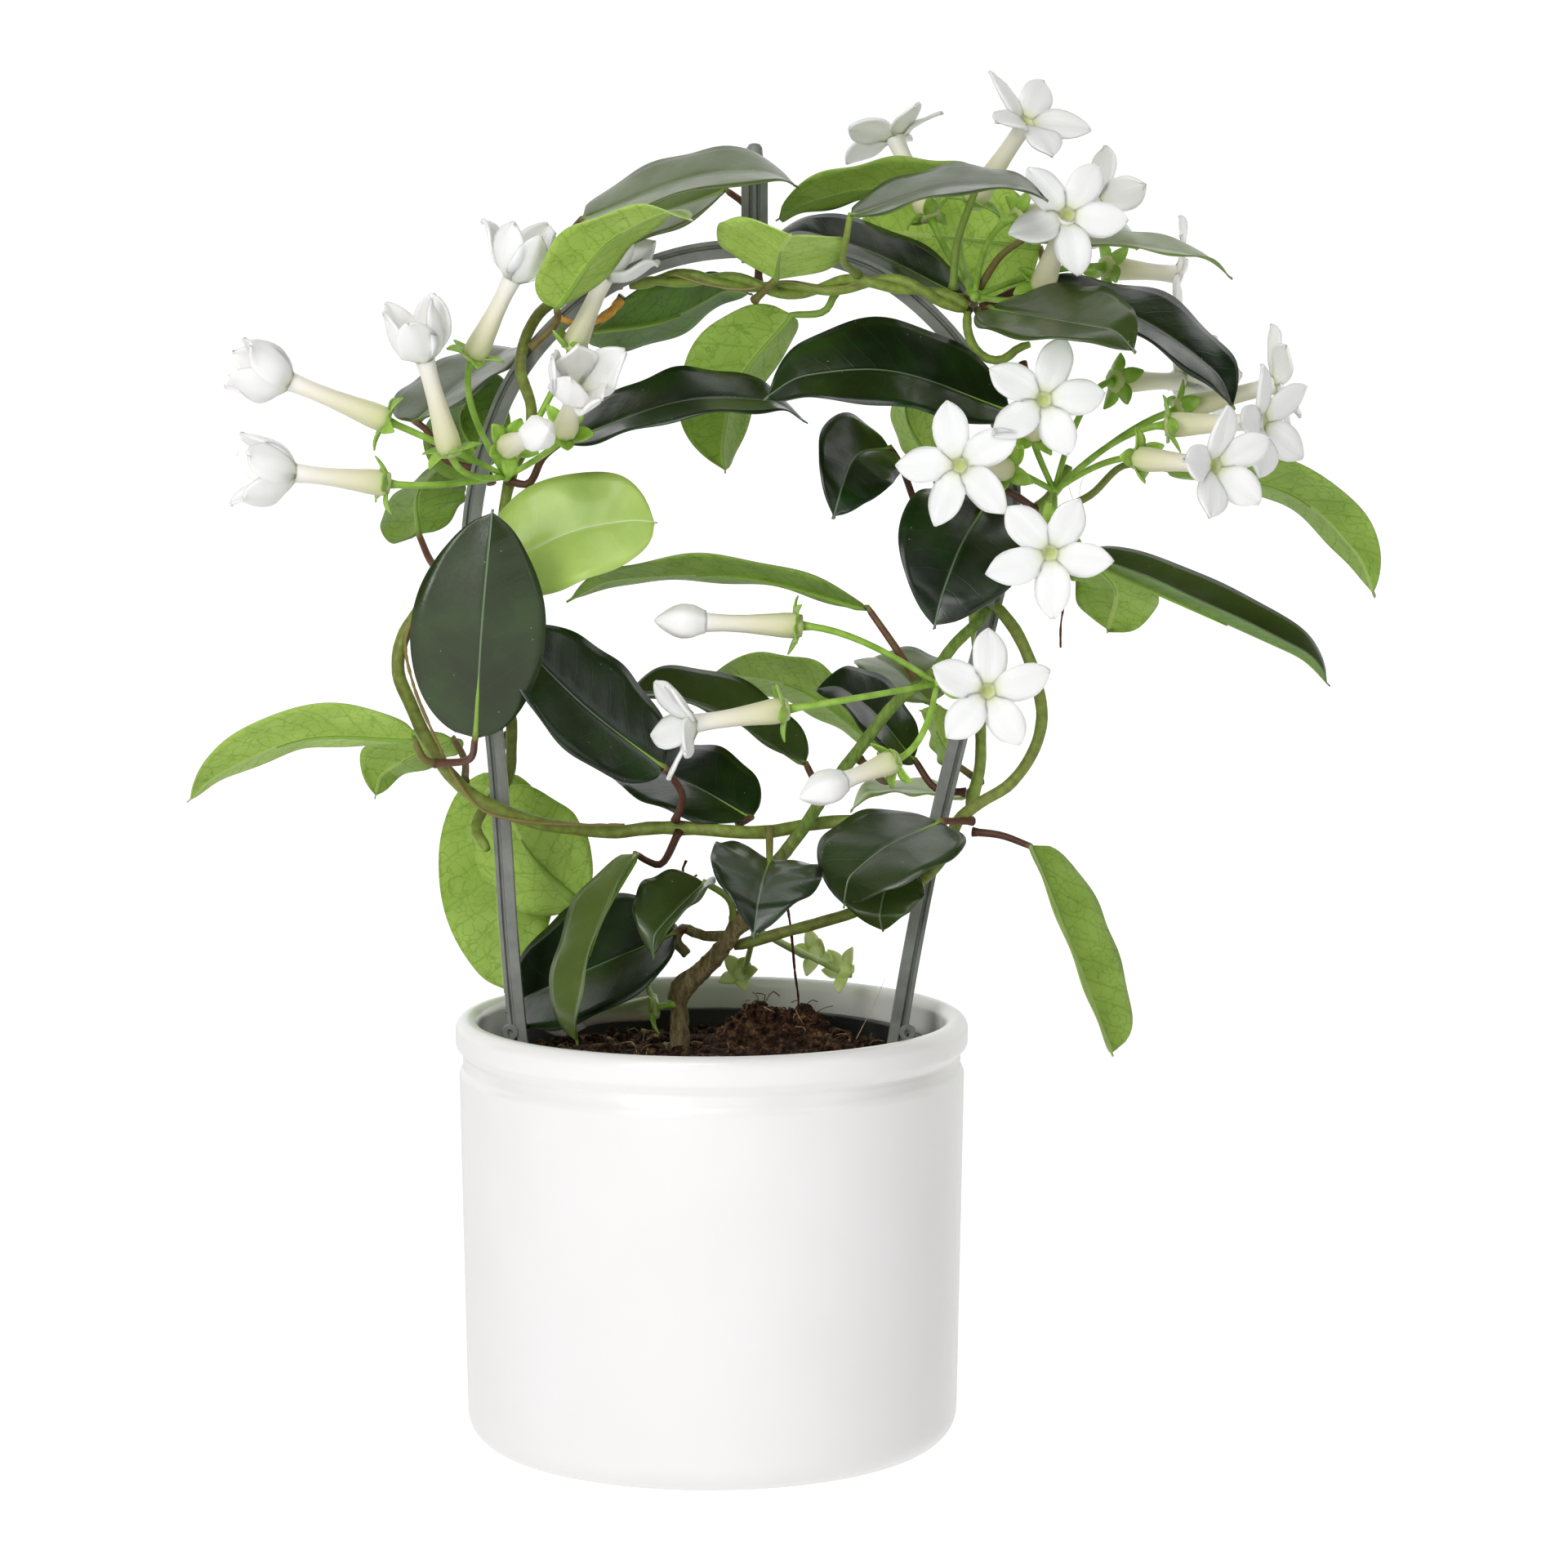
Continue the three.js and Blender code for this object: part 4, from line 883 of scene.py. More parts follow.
# Each vine: how green it is from its first to its last end, then its line and what branches off.
VINES = {
    "left_loop": (0.62, 0.72, [[
        (-61, 251, -8), (-68, 246, -9), (-76, 237, -11), (-81, 230, -14), (-85, 223, -16),
        (-86, 214, -16), (-83, 206, -15), (-80, 199, -13), (-76, 192, -11), (-73, 187, -9), (-67, 181, -8),
        (-60, 177, -8), (-50, 173, -6), (-39, 171, -2), (-27, 170, 0), (-16, 171, 0), (-5, 171, -1),
        (6, 170, -3), (16, 170, 0), (27, 172, 4), (38, 173, 3), (46, 172, 1)]]),
    "left_shoot": (0.6, 0.75, [[
        (-55, 203, 8), (-55, 195, 8), (-56, 185, 8), (-60, 180, 9), (-63, 176, 6), (-65, 171, 0),
        (-62, 165, -5)]]),
    "left_climber": (0.7, 0.6, [[
        (-57, 255, -6), (-56, 263, -5), (-54, 270, -4), (-50, 278, -4), (-49, 287, -5),
        (-52, 297, -6), (-51, 304, -5), (-47, 312, 0), (-40, 317, 5), (-31, 320, 6), (-24, 320, 5)]]),
    "top_vine": (0.8, 0.8, [[
        (-22, 320, 5), (-9, 322, 2), (7, 321, 0), (18, 319, -1), (29, 319, -2), (42, 321, -6),
        (53, 320, -8), (62, 317, -8), (70, 314, -8)], HANGING_SHOOT]),
    "right_inner": (0.8, 0.85, [[
        (71, 176, 8), (74, 188, 8), (74, 201, 8), (73, 222, 8), (72, 235, 8), (75, 244, 8),
        (83, 253, 6), (94, 264, -2), (98, 271, -2)]]),
    "right_loop": (0.7, 0.62, [[
        (78, 233, -12), (84, 225, -12), (89, 213, -10), (91, 201, -9), (88, 191, -8), (82, 183, -8),
        (74, 178, -8), (68, 173, -6), (64, 163, -7), (56, 155, -5), (43, 149, 0), (31, 145, 2), (20, 142, 4),
        (13, 140, 5), (6, 138, 5)]]),
}
TWIST_PITCH = 30 * MM         # one turn of the two stems of the top vine about each other
TWIST_OFFSET = 1.25 * MM
NODE_SWELL = 0.42             # how much thicker a stem is where leaves stand
NODE_SPREAD = 2.2 * MM
TRUNK_JOINT = (8, 145, 0)     # where the low branch leaves the trunk
TRUNK_GRAIN = 1.8 * MM
STEM_GRAIN = 5 * MM
STEM_RELIEF = 0.2 * MM


def swollen(point, radius, joints):
    """The radius of a stem, thicker near a joint."""
    nearest = min((point - joint).length for joint in joints)
    return radius * (1 + NODE_SWELL * math.exp(-(nearest / NODE_SPREAD) ** 2))


def stem_sweep(bm, line, radius, ages, joints, sides=12, offset=None):
    """A stem along a line; offset(i) moves its middle within the frame, for twisted stems."""
    spots = frames(line, FRONT)
    if offset:
        moved = []
        for i, (centre, across, up, forward) in enumerate(spots):
            a, u = offset(i)
            moved.append((centre + across * a + up * u, across, up, forward))
        spots = moved
    radii = [swollen(spot[0], radius, joints) for spot in spots]
    radii[0] *= 0.7
    radii[-1] *= 0.7
    last = len(spots) - 1
    sweep(bm, spots, radii, sides, 0, [mix(*ages, i / last) for i in range(last + 1)])


def roughen(bm, size, young, old):
    """Moves every point along its normal by noise, more where the skin is old."""
    bm.normal_update()
    age = bm.verts.layers.float["age"]
    for vert in bm.verts:
        vert.co += vert.normal * noise.noise(vert.co / size) * mix(young, old, 1 - vert[age])


def make_vines(joints):
    for name, (first_age, last_age, lines) in VINES.items():
        bm = new_mesh()
        for k, stops in enumerate(lines):
            line = run([at(stop) for stop in stops], step=2.2 * MM)
            ages = (first_age, last_age)
            if name == "top_vine" and k == 0:
                step = length_of(line) / (len(line) - 1)
                for half in (0, math.pi):
                    def offset(i, half=half):
                        turn = half + math.tau * i * step / TWIST_PITCH
                        apart = TWIST_OFFSET * ease(-1, 6, i)
                        return apart * math.cos(turn), apart * math.sin(turn)
                    stem_sweep(bm, line, VINE_R * 0.88, ages, joints, offset=offset)
            else:
                stem_sweep(bm, line, VINE_RADII.get(name, VINE_R) if k == 0 else SHOOT_R, ages, joints)
        roughen(bm, STEM_GRAIN, STEM_RELIEF, STEM_RELIEF)
        finish_piece(bm, name + "_stem", [STEM], [name])


def make_trunk():
    bm = new_mesh()
    line = run([at(stop) for stop in TRUNK_LINE], step=1.4 * MM)
    last = len(line) - 1
    joint = at(TRUNK_JOINT)
    radii = [swollen(spot, between(TRUNK_RADII, i / last) * MM, [joint]) for i, spot in enumerate(line)]
    ages = [between(TRUNK_AGES, i / last) for i in range(last + 1)]
    sweep(bm, frames(line, FRONT), radii, 16, 0, ages)
    branch = run([at(stop) for stop in LOW_BRANCH], step=1.6 * MM)
    sweep(bm, frames(branch, FRONT), [1.5 * MM] * len(branch), 10, 0, [0.15] * len(branch))
    roughen(bm, TRUNK_GRAIN, 0.15 * MM, 0.5 * MM)
    finish_piece(bm, "trunk_bark", [BARK], ["trunk"])


# ---------------------------------------------------------------- leaves
# Each leaf: stalk stops from the stem outwards, then base, middle and tip of its midrib, the width of
# the blade, facing, fold and tone. Facing 0 shows the upper side to the front, 90 turns it to the sky
# and 180 shows the underside. Fold is how far each half rises from the midrib, in degrees. Tone goes
# from 0, an old dark leaf, to 1, a young light one; a young underside is also painted lighter for light
# shining through it. Leaves that share a joint are one piece.
LEAVES = {
    "top_back": [[[[13, 321, 3], [13, 331, 7], [10, 341, 10]],
        [4, 346, 6], [-16, 339, 12], [-40, 333, 18], 30, 60, 6, 0.3]],
    "top_front": [[[[-38, 318, 5], [-39, 327, -4], [-38, 334, -20]],
        [-35, 338, -30], [-2, 350, -34], [24, 351, -28], 32, 71, 6, 0.2]],
    "upper_left": [[[[-49, 303, -8], [-42, 310, -10]],
        [-42, 314, -16], [-28, 332, -34], [-6, 343, -54], 30, 118, 10, 0.9]],
    "under_top_vine": [[[[-24, 317, 8], [-29, 311, 10]],
        [-33, 308, 12], [-12, 311, 22], [9, 322, 26], 34, 118, 8, 0]],
    "young_centre": [[[[12, 316, -1], [15, 319, -6]],
        [18, 322, -10], [19, 329, -28], [22, 334, -46], 36, 171, 14, 1]],
    "top_right_green": [[[[66, 319, -6], [67, 331, -8], [71, 343, -6]],
        [73, 348, -4], [44, 347, -6], [17, 340, -8], 33, 106, 6, 0.6]],
    "top_right_grey": [[[[40, 323, -8], [36, 327, -28], [37, 333, -38]],
        [38, 339, -42], [65, 347, -42], [92, 347, -38], 32, 77, 6, 0.1]],
    "top_right_veined": [[[[73, 313, -4], [81, 315, 14], [90, 324, 28]],
        [90, 330, 36], [64, 333, 38], [38, 335, 34], 38, 178, 6, 0.8]],
    "dark_twisted": [[[[70, 313, -4], [72, 315, 5]],
        [69, 317, 12], [42, 330, 18], [17, 337, 18], 28, 62, 4, 0]],
    "right_node_pair": [
        [[[75, 313, -13]], [76, 314, -15], [93, 311, -32], [116, 307, -50], 35, 62, 8, 0.1],
        [[[75, 313, -13], [77, 310, -6]], [80, 311, 0], [96, 317, 6], [112, 311, 10], 26, 74, 8, 0.9],
    ],
    "right_glossy": [[[[74, 314, -4], [84, 319, 2]],
        [92, 321, 4], [121, 309, -8], [146, 290, -16], 33, 64, 8, 0]],
    "right_top_thin": [[[[73, 319, -7], [79, 328, -6]],
        [86, 333, -4], [116, 331, -2], [143, 326, 2], 30, 82, 6, 0.4]],
    "dark_centre": [[[[85, 299, -9], [88, 290, -14]],
        [82, 286, -18], [48, 297, -26], [14, 294, -28], 37, 52, 10, 0]],
    "hanging_folded": [[[[34, 318, 4], [31, 313, 4]],
        [22, 312, 6], [7, 293, 12], [2, 269, 8], 31, 148, 30, 0.6]],
    "long_dark": [[[[-56, 267, -7], [-50, 266, -8], [-46, 273, -10]],
        [-40, 278, -14], [-6, 289, -18], [27, 288, -10], 33, 67, 8, 0]],
    "small_pair": [
        [[[69, 240, 10], [58, 256, 11], [52, 271, 12]],
            [49, 276, 12], [40, 274, -4], [34, 260, -24], 25, 8, 12, 0],
        [[[69, 240, 10], [64, 258, 13]], [60, 273, 16], [54, 285, 20], [56, 302, 26], 24, 118, 8, 0.8],
    ],
    "left_grey": [[[[-60, 269, 8], [-73, 273, 8], [-78, 281, 8]],
        [-81, 283, 8], [-68, 294, 24], [-51, 306, 42], 34, 64, 8, 0.1]],
    "left_back": [[[[-60, 266, 12]], [-61, 270, 14], [-68, 284, 28], [-59, 297, 40], 28, 150, 8, 0.3]],
    "left_folded": [[[[-73, 241, -7], [-77, 245, 4]],
        [-80, 252, 10], [-80, 263, 24], [-72, 273, 38], 27, 142, 16, 0.3]],
    "left_bright": [[[[-59, 248, -12]], [-60, 242, -15], [-38, 253, -18], [-15, 257, -20], 31, 22, 8, 1]],
    "left_node_pair": [
        [[[-76, 189, -14], [-67, 190, -22]],
            [-65, 196, -36], [-63, 227, -42.5], [-60, 259, -43], 37, 8, -12, 0.04],
        [[[-76, 189, -14], [-79, 190, -16]],
            [-82, 196, -18], [-113, 196, -24], [-146, 181, -26], 33, 115, 10, 0.8],
    ],
    "long_underside": [[[[56, 213, -8], [50, 222, -10]],
        [43, 232, -8], [7, 241, -6], [-40, 239, -2], 32, 105, 6, 0.4]],
    "right_dark": [[[[89, 259, 0], [80, 264, -6]],
        [75, 260, -7], [68, 248, -28], [61, 229, -44], 37, 6, 12, 0]],
    "far_right_veined": [[[[96, 259, 4], [104, 263, 3], [113, 271, 0]],
        [125, 270, -2], [160, 263, 2], [185, 238, 8], 31, 112, 10, 0.5]],
    "far_right_long": [[[[96, 256, -9]],
        [102, 246, -14], [137, 230, -20], [172, 214, -20], 27, 76, 28, 0.08]],
    "right_pale_low": [[[[91, 258, 4], [99, 252, 7]],
        [103, 246, 8], [111, 237, 22], [109, 227, 36], 25, 150, 10, 0.55]],
    "left_low_pale": [[[[-68, 184, -5], [-68, 190, 4]],
        [-71, 196, 8], [-83, 191, 16], [-94, 184, 26], 26, 128, 10, 0.6]],
    "mid_dark": [[[[-10, 173, -4], [-8, 180, -8]],
        [-13, 188, -14], [-35, 205, -21], [-57, 227, -27], 36, 46, 8, 0]],
    "low_dark": [[[[7, 172, 2]], [11, 174, 4], [-7, 184, 14], [-26, 190, 28], 34, 58, 8, 0]],
    "mid_grey": [[[[28, 175, 1], [29, 182, 10]],
        [26, 189, 14], [2, 204, 18], [-24, 211, 14], 27, 68, 22, 0.1]],
    "mid_green": [[[[41, 190, 0], [48, 184, 16], [50, 188, 30]],
        [46, 195, 36], [24, 210, 42], [-3, 215, 40], 33, 118, 6, 0.6]],
    "mid_textured": [[[[70, 181, 9], [62, 182, 12]],
        [56, 190, 16], [44, 204, 12], [31, 213, 8], 27, 62, 8, 0]],
    "mid_back_grey": [[[[72, 201, 11], [66, 202, 24]],
        [60, 206, 30], [51, 215, 40], [42, 220, 50], 28, 58, 8, 0.3]],
    "mid_back_pair": [
        [[[74, 184, 13]], [67, 189, 18], [63, 197, 22], [60, 205, 26], 20, 118, 8, 0.8],
        [[[74, 184, 13]], [70, 180, 24], [54, 182, 26], [38, 181, 24], 24, 86, 4, 0.7],
    ],
    "left_low_veined": [[[[-56, 197, 11], [-58, 192, 18]],
        [-58, 187, 30], [-59, 156, 40], [-57, 125, 35], 34, 178, 6, 0.7]],
    "left_low_back": [[[[-10, 143, 10], [-24, 142, 17], [-33, 146, 23]],
        [-37, 150, 25], [-50, 164, 26], [-60, 184, 26], 34, 164, 6, 0.7]],
    "left_low_narrow": [[[[-9, 170, -2], [-14, 161, -10], [-18, 162, -14]],
        [-21, 164, -18], [-32, 143, -28], [-40, 111, -35], 27, 68, 20, 0.2]],
    "left_low_big": [[[[-8, 143, 5]], [-10, 142, 2], [-31, 133, 5], [-58, 121, 16], 42, 50, 11, 0]],
    "low_small": [[[[6, 143, 1], [5, 151, -5]],
        [-2, 156, -10], [-10, 148, -20], [-18, 139, -30], 25, 52, 34, 0.08]],
    "low_heart": [[[[16, 171, -3]], [16, 162, -12], [14, 156, -32], [12, 146, -50], 32, 6, 18, 0]],
    "low_right": [[[[72, 173, -6]], [63, 173, -14], [48, 166, -26], [34, 154, -36], 40, 60, 2, 0.04]],
    "low_right_under": [[[[55, 157, -9]],
        [52, 161, -10], [48, 154, -14], [46, 144, -19], 25, 25, 8, 0.1]],
    "right_hanging": [[[[72, 170, -4], [80, 169, -6]],
        [88, 166, -8], [98, 141, -16], [111, 107, -20], 34, -113, -20, 0.62]],
}

# What sets single leaves apart: hook is how far the tip curls down in mm, wave the height of its edge's
# waves in mm, stalk how green its stalk is, full how square its outline is (2 being a true oval), taper
# how much less so towards the tip, point the width of the drawn-out tip, and rib the greatest radius of
# the midrib below in mm.
LEAF_HABIT = {
    "hook": 2.6, "wave": 0.6, "stalk": None, "full": 1.95, "taper": 0.2, "point": 0.12, "rib": 0.8,
}
LEAF_HABITS = {
    "top_front": {"hook": 2, "stalk": 0.1, "full": 2.7, "taper": -1.8, "point": 0.0},
    "upper_left": {"stalk": 0.45},
    "top_right_green": {"stalk": 0.85, "full": 2.5, "taper": -1.0, "point": 0.02, "hook": 1.2},
    "top_right_grey": {"hook": 2, "stalk": 0.75, "point": 0.03, "full": 2.4, "taper": -0.4},
    "right_glossy": {"hook": 3, "wave": 1.1},
    "right_top_thin": {"stalk": 0.5, "hook": 2, "point": 0.08},
    "young_centre": {"wave": 0.5, "stalk": 0.55, "taper": -0.2, "full": 2.2, "hook": 0, "point": 0.03},
    "under_top_vine": {"stalk": 0.55},
    "hanging_folded": {"stalk": 0.95},
    "left_bright": {"full": 2.3, "taper": -0.1, "point": 0.02, "hook": 1, "wave": 0.9},
    "left_node_pair": {"taper": 0.3, "point": 0.08, "hook": 1.5, "wave": 0.3},
    "far_right_long": {"hook": 2, "point": 0.06, "full": 2.3, "taper": -0.1, "wave": 0.1},
    "far_right_veined": {"stalk": 0.7},
    "left_grey": {"full": 2.2},
    "right_pale_low": {"stalk": 0.8, "wave": 1.5, "full": 2.6, "taper": -0.3, "point": 0.02, "hook": 1},
    "right_hanging": {"hook": 1, "stalk": 0.1, "wave": 0.3, "full": 2.3, "taper": -0.5, "point": 0.1},
    "left_low_back": {"rib": 1.7, "stalk": 0.6},
    "left_low_narrow": {"full": 2.3, "taper": 0, "point": 0.06, "stalk": 0.0},
    "left_low_big": {"full": 2.1, "taper": 0.3, "hook": 1},
    "low_small": {"stalk": 0.8, "hook": 3},
    "low_heart": {"full": 2.5, "taper": 0.7, "hook": 3, "stalk": 0.6},
    "low_right": {"hook": 3.4, "full": 2.4, "taper": 0.4},
    "low_right_under": {"hook": 3.5},
}
BLADE_COLUMNS = 14
BLADE_ROWS = 56
BLADE_THICKNESS = 0.4 * MM
STALK_R = 1.0 * MM
RIB_SINK = 0.35 * MM           # how deep the midrib lies in the upper face, and how wide
RIB_SINK_WIDTH = 0.8 * MM
VEIN_RELIEF = 0.2 * MM         # of the blade between two side veins
CROWDING = 1.35                # how much closer the columns stand near the midrib
CURL_START = 0.8               # where along the blade its tip begins to curl


def half_width(part, habit):
    """The blade's width along the midrib, as a part of the greatest: an oval with a drawn-out tip."""
    off = abs(2 * min(part / 0.975, 1) ** 0.93 - 1)
    full = habit["full"] - habit["taper"] * ease(0.4, 0.9, part)
    body = (1 - off ** full) ** (1 / full)
    return body + habit["point"] * (1 - part) ** 0.7 * ease(0.82, 0.97, part)


def towards(first, second, turn):
    """A direction turned by an angle from the first way towards the second, which is square to it."""
    return first * math.cos(turn) + second * math.sin(turn)


def leaf(bm, row, habit):
    stalk, base, middle, tip, width, facing, fold, tone = row
    base, middle, tip = at(base), at(middle), at(tip)
    rib = run([base, middle, tip], count=BLADE_ROWS)
    reach = length_of(rib)

    chord = (tip - base).normalized()
    front = (FRONT - chord * FRONT.dot(chord)).normalized()
    sky = chord.cross(front)
    if sky.z < -0.3 or (abs(sky.z) <= 0.3 and sky.x < 0):
        sky.negate()
    upper = towards(front, sky, math.radians(facing))
    spots = frames(rib, upper, round(0.42 * BLADE_ROWS))

    rise = math.sin(math.radians(fold))
    spread = math.cos(math.radians(fold))
    phase = chance.uniform(0, math.tau)
    waves = chance.uniform(2.2, 3.4)
    bow = chance.uniform(-0.5, 0.5)
    lean = chance.uniform(-0.03, 0.03)

    def place(side, part):
        centre, across, up, forward = spots[round(part * BLADE_ROWS)]
        half = max(width * MM / 2 * half_width(part, habit), 0.2 * MM)
        near = math.copysign(abs(side) ** CROWDING, side)
        out = abs(near)
        away = half * near * (1 + lean * math.copysign(1, side))
        lift = rise * half * (1.4 * out - 0.4 * out * out)
        lift -= RIB_SINK * math.exp(-(away / RIB_SINK_WIDTH) ** 2) * (1 - part)
        vein = math.cos(math.tau * (part * reach - SIDE_VEIN_SLOPE * abs(away)) / SIDE_VEIN_SPACING)
        lift += VEIN_RELIEF * vein * out * (1 - out) * ease(0, 0.1, 1 - part)
        lift += habit["wave"] * MM * out ** 3 * math.sin(math.tau * part * waves + phase + side)
        lift += bow * MM * math.sin(math.pi * part) * near
        curl = ease(CURL_START, 1.06, part) ** 1.5 * 2
        down = -SKY * 0.8 - up * 0.5
        down -= forward * down.dot(forward)
        point = centre + across * away * spread + up * lift + down * curl * habit["hook"] * MM
        return point, (away, part * reach), tone, out

    blade(bm, BLADE_COLUMNS, BLADE_ROWS, place, BLADE_THICKNESS, 0, 1)

    line = run([*[at(stop) for stop in stalk], base], step=1.8 * MM)
    run_in = [spots[i][0] - spots[i][2] * (0.75 * MM) for i in range(2, BLADE_ROWS * 3 // 5, 3)]
    ribs = len(run_in)
    radii = [STALK_R * mix(1.15, 0.9, i / len(line)) for i in range(len(line))]
    radii[0] *= 1.25
    radii += [mix(habit["rib"], 0.12, i / ribs) * MM for i in range(ribs)]
    green = habit["stalk"] if habit["stalk"] is not None else mix(0.15, 0.6, tone)
    ages = [green] * (len(line) - 1) + [mix(green, 1, 0.5)] + [1.0] * len(run_in)
    sweep(bm, frames([*line, *run_in], upper, len(line)), radii, 8, 2, ages)


def make_leaves():
    for name, rows in LEAVES.items():
        bm = new_mesh()
        for row in rows:
            leaf(bm, row, {**LEAF_HABIT, **LEAF_HABITS.get(name, {})})
        finish_piece(bm, name + "_leaf", [LEAF_UPPER, LEAF_UNDER, LEAF_STALK], ["leaf_" + name])


# ---------------------------------------------------------------- flowers
CLUSTERS = {
    "flowers_left": { "joint": [-56, 268, -9], "flowers": [
        [[-65, 300, -16], [-54, 322, -22], 0.4], [[-71, 274, -28], [-78, 300, -36], 0.4],
        [[-88, 283, -22], [-115, 294, -26], 0.4], [[-88, 266, -28], [-114, 269, -34], 0.4],
        [[-40, 280, -28], [-37, 291, -50], 0.4], [[-56, 276, -26], [-49, 279, -46], 0],
        [[-38, 302, -8], [-29, 322, -7], 0.2],
    ] },
    "flowers_top": { "joint": [72, 317, -13], "flowers": [
        [[60, 338, 19], [50, 360, 27], 0.9, 0, 20], [[71, 342, 16], [86, 364.3, 4], 0.85, 0.15, -30],
        [[90, 319, -8], [97, 339, -24], 1, 0.75, 30], [[83, 338, 10], [105, 342, 26], 0.8, 0, 0],
        [[107, 325, 22], [127, 323, 38], 1, 0.4, 18],
    ] },
    "flowers_right": { "joint": [94, 264, -8], "flowers": [
        [[88, 280, -16], [91, 289, -42], 1, 0.5, 15], [[81, 270, -18], [68, 271, -42], 1, 0.5, -15],
        [[110, 294, 8], [128, 294, 28], 0.4, 0, 0], [[127, 286, -2], [154, 293, 4], 0.9, 0.1, 20],
        [[124, 282, -16], [151, 283, -18], 0.9, 0.4, -15],
        [[116, 273, -26], [138, 271, -42], 0.75, 0.28, -10],
        [[94, 253, -24], [93, 247, -50], 1, 0.5, 31],
    ] },
    "flowers_middle": { "joint": [62, 211, -12], "flowers": [
        [[71, 209, -26], [76, 209, -52], 1, 0.5, 6], [[21, 204, -38], [-5, 200, -44], 0.64, 0.06, -36],
        [[25, 227, -20], [-2, 228, -22], 0], [[51, 190, -30], [36, 184, -38], 0],
    ] },
    "flower_low": { "joint": [-11, 122, 6], "flowers": [[[-15, 121, 5], [-36, 118, 8], 0]] },
    "young_cluster": { "joint": [12, 143, 9], "flowers": [
        [[8, 130, 40], [8, 134, 30], 0], [[29, 136, 44], [27, 140, 34], 0],
        [[37, 131, 40], [31, 135, 30], 0],
    ] },
}
BARE_CLUSTER = "young_cluster"      # calyxes whose corolla hasn't grown yet
LOBES = 5
LOBE_LENGTH = 15.5 * MM
LOBE_THICKNESS = 0.85 * MM
LOBE_ROOT_R = 1.7 * MM
FLOWER_STALK_R = 0.8 * MM
BUD_LENGTH = 14 * MM
BUD_STEPS = 18
FOLD_DEPTH = 0.07              # of a bud's folds, as a part of its radius
FOLD_TURN = 2.6                # how far they wind, in radians
SEPAL_LENGTH = 7.2 * MM
LOBE_ROWS = 16
SEPAL_ROWS = 6
SEPAL_THICKNESS = 0.35 * MM
TUBE_STEPS = 16
TUBE_SIDES = 20
STALK_STEPS = 10
CUP_LIMIT = 0.6            # a flower opened less than this is a cup
# Along a lobe: its half width in mm, and its angle from the flower's axis in degrees.
LOBE_WIDTHS = [
    (0, 1.8), (0.08, 2.5), (0.2, 3.9), (0.34, 4.7), (0.48, 4.95), (0.62, 4.8), (0.74, 4.2), (0.85, 3.05),
    (0.93, 1.75), (0.975, 0.9), (1, 0.25),
]
STAR_ANGLES = [(0, 60), (0.1, 74), (0.25, 84), (0.6, 90), (0.85, 98), (1, 112)]
CUP_ANGLES = [(0, 48), (0.12, 58), (0.3, 34), (0.5, 14), (0.7, 3), (0.88, 2), (1, 22)]
FLARED_ANGLES = [(0, 58), (0.12, 70), (0.3, 52), (0.5, 28), (0.7, 22), (0.88, 50), (1, 80)]
TUBE_RADII = [                  # (part of the tube from the calyx, radius in mm)
    (0, 3.0), (0.07, 3.5), (0.18, 3.45), (0.36, 2.95), (0.58, 2.45), (0.78, 2.3), (0.92, 2.5), (1, 2.7),
]
MOUTH_R = 2.4 * MM
THROAT = [(0.2, 2.0, 0.3), (0.7, 1.6, 0.1), (1.2, 1.1, 0), (1.5, 0.5, 0)]   # (depth, radius in mm, age)
BUD_RADII = [
    (0, 3.0), (0.08, 3.4), (0.25, 4.5), (0.45, 4.75), (0.62, 4.1), (0.78, 2.8), (0.9, 1.6), (0.97, 0.8),
    (1, 0.3),
]


def lobe_path(angles, opened, length, count):
    """(radius, height, angle) along a lobe, from the mouth to its tip."""
    place = [(LOBE_ROOT_R, 0.1 * MM, math.radians(between(angles, 0)))]
    for i in range(1, count + 1):
        turn = math.radians(between(angles, (i - 0.5) / count) * opened)
        radius, height, _ = place[-1]
        step = length / count
        place.append((radius + step * math.sin(turn), height + step * math.cos(turn), turn))
    return place


SIDEWAYS = Vector((0, 1, 0))


def corolla_lobe(bm, turn, opened, cup):
    """One lobe at an angle about the +Z axis; its upper face is the inner one."""
    length = LOBE_LENGTH * chance.uniform(0.94, 1.04) * (1.14 if cup else 1)
    angles = STAR_ANGLES if not cup else FLARED_ANGLES if chance.random() < 0.22 else CUP_ANGLES
    path = lobe_path(angles, opened, length, LOBE_ROWS)
    swing = chance.uniform(-0.1, 0.1)
    pitch = chance.uniform(-0.1, 0.12) * (2.2 if cup else 1)
    roll = 0.2 + chance.uniform(-0.08, 0.12)
    cupped = 0.38 if cup else chance.uniform(-0.06, 0.1)
    broad = 1.1 if cup else 1.0

    def place(side, part):
        radius, height, angle = path[round(part * LOBE_ROWS)]
        half = between(LOBE_WIDTHS, part) * MM * mix(1, broad, ease(0.1, 0.4, part))
        face = Vector((-math.cos(angle), 0, math.sin(angle)))
        tilted = towards(SIDEWAYS, face, roll * ease(0.05, 0.5, part))
        hump = (cupped - 0.16) * half * side * side + 0.1 * half * abs(side)
        hump -= 0.25 * MM * math.exp(-(side * 5) ** 2) * ease(0.0, 0.3, part)
        hump += 0.3 * MM * math.sin(part * 7 + side * 2 + turn) * side * side
        spot = Vector((radius, 0, height)) + tilted * half * side + face * hump
        spot += (SIDEWAYS * swing + face * pitch) * length * part * part
        return spot, (half * side, part * length), 0.08 + 0.92 * part, abs(side)

    verts = blade(bm, 8, LOBE_ROWS, place, LOBE_THICKNESS, 0, 0)
    bmesh.ops.rotate(bm, matrix=Matrix.Rotation(turn, 3, "Z"), verts=verts)
    return verts


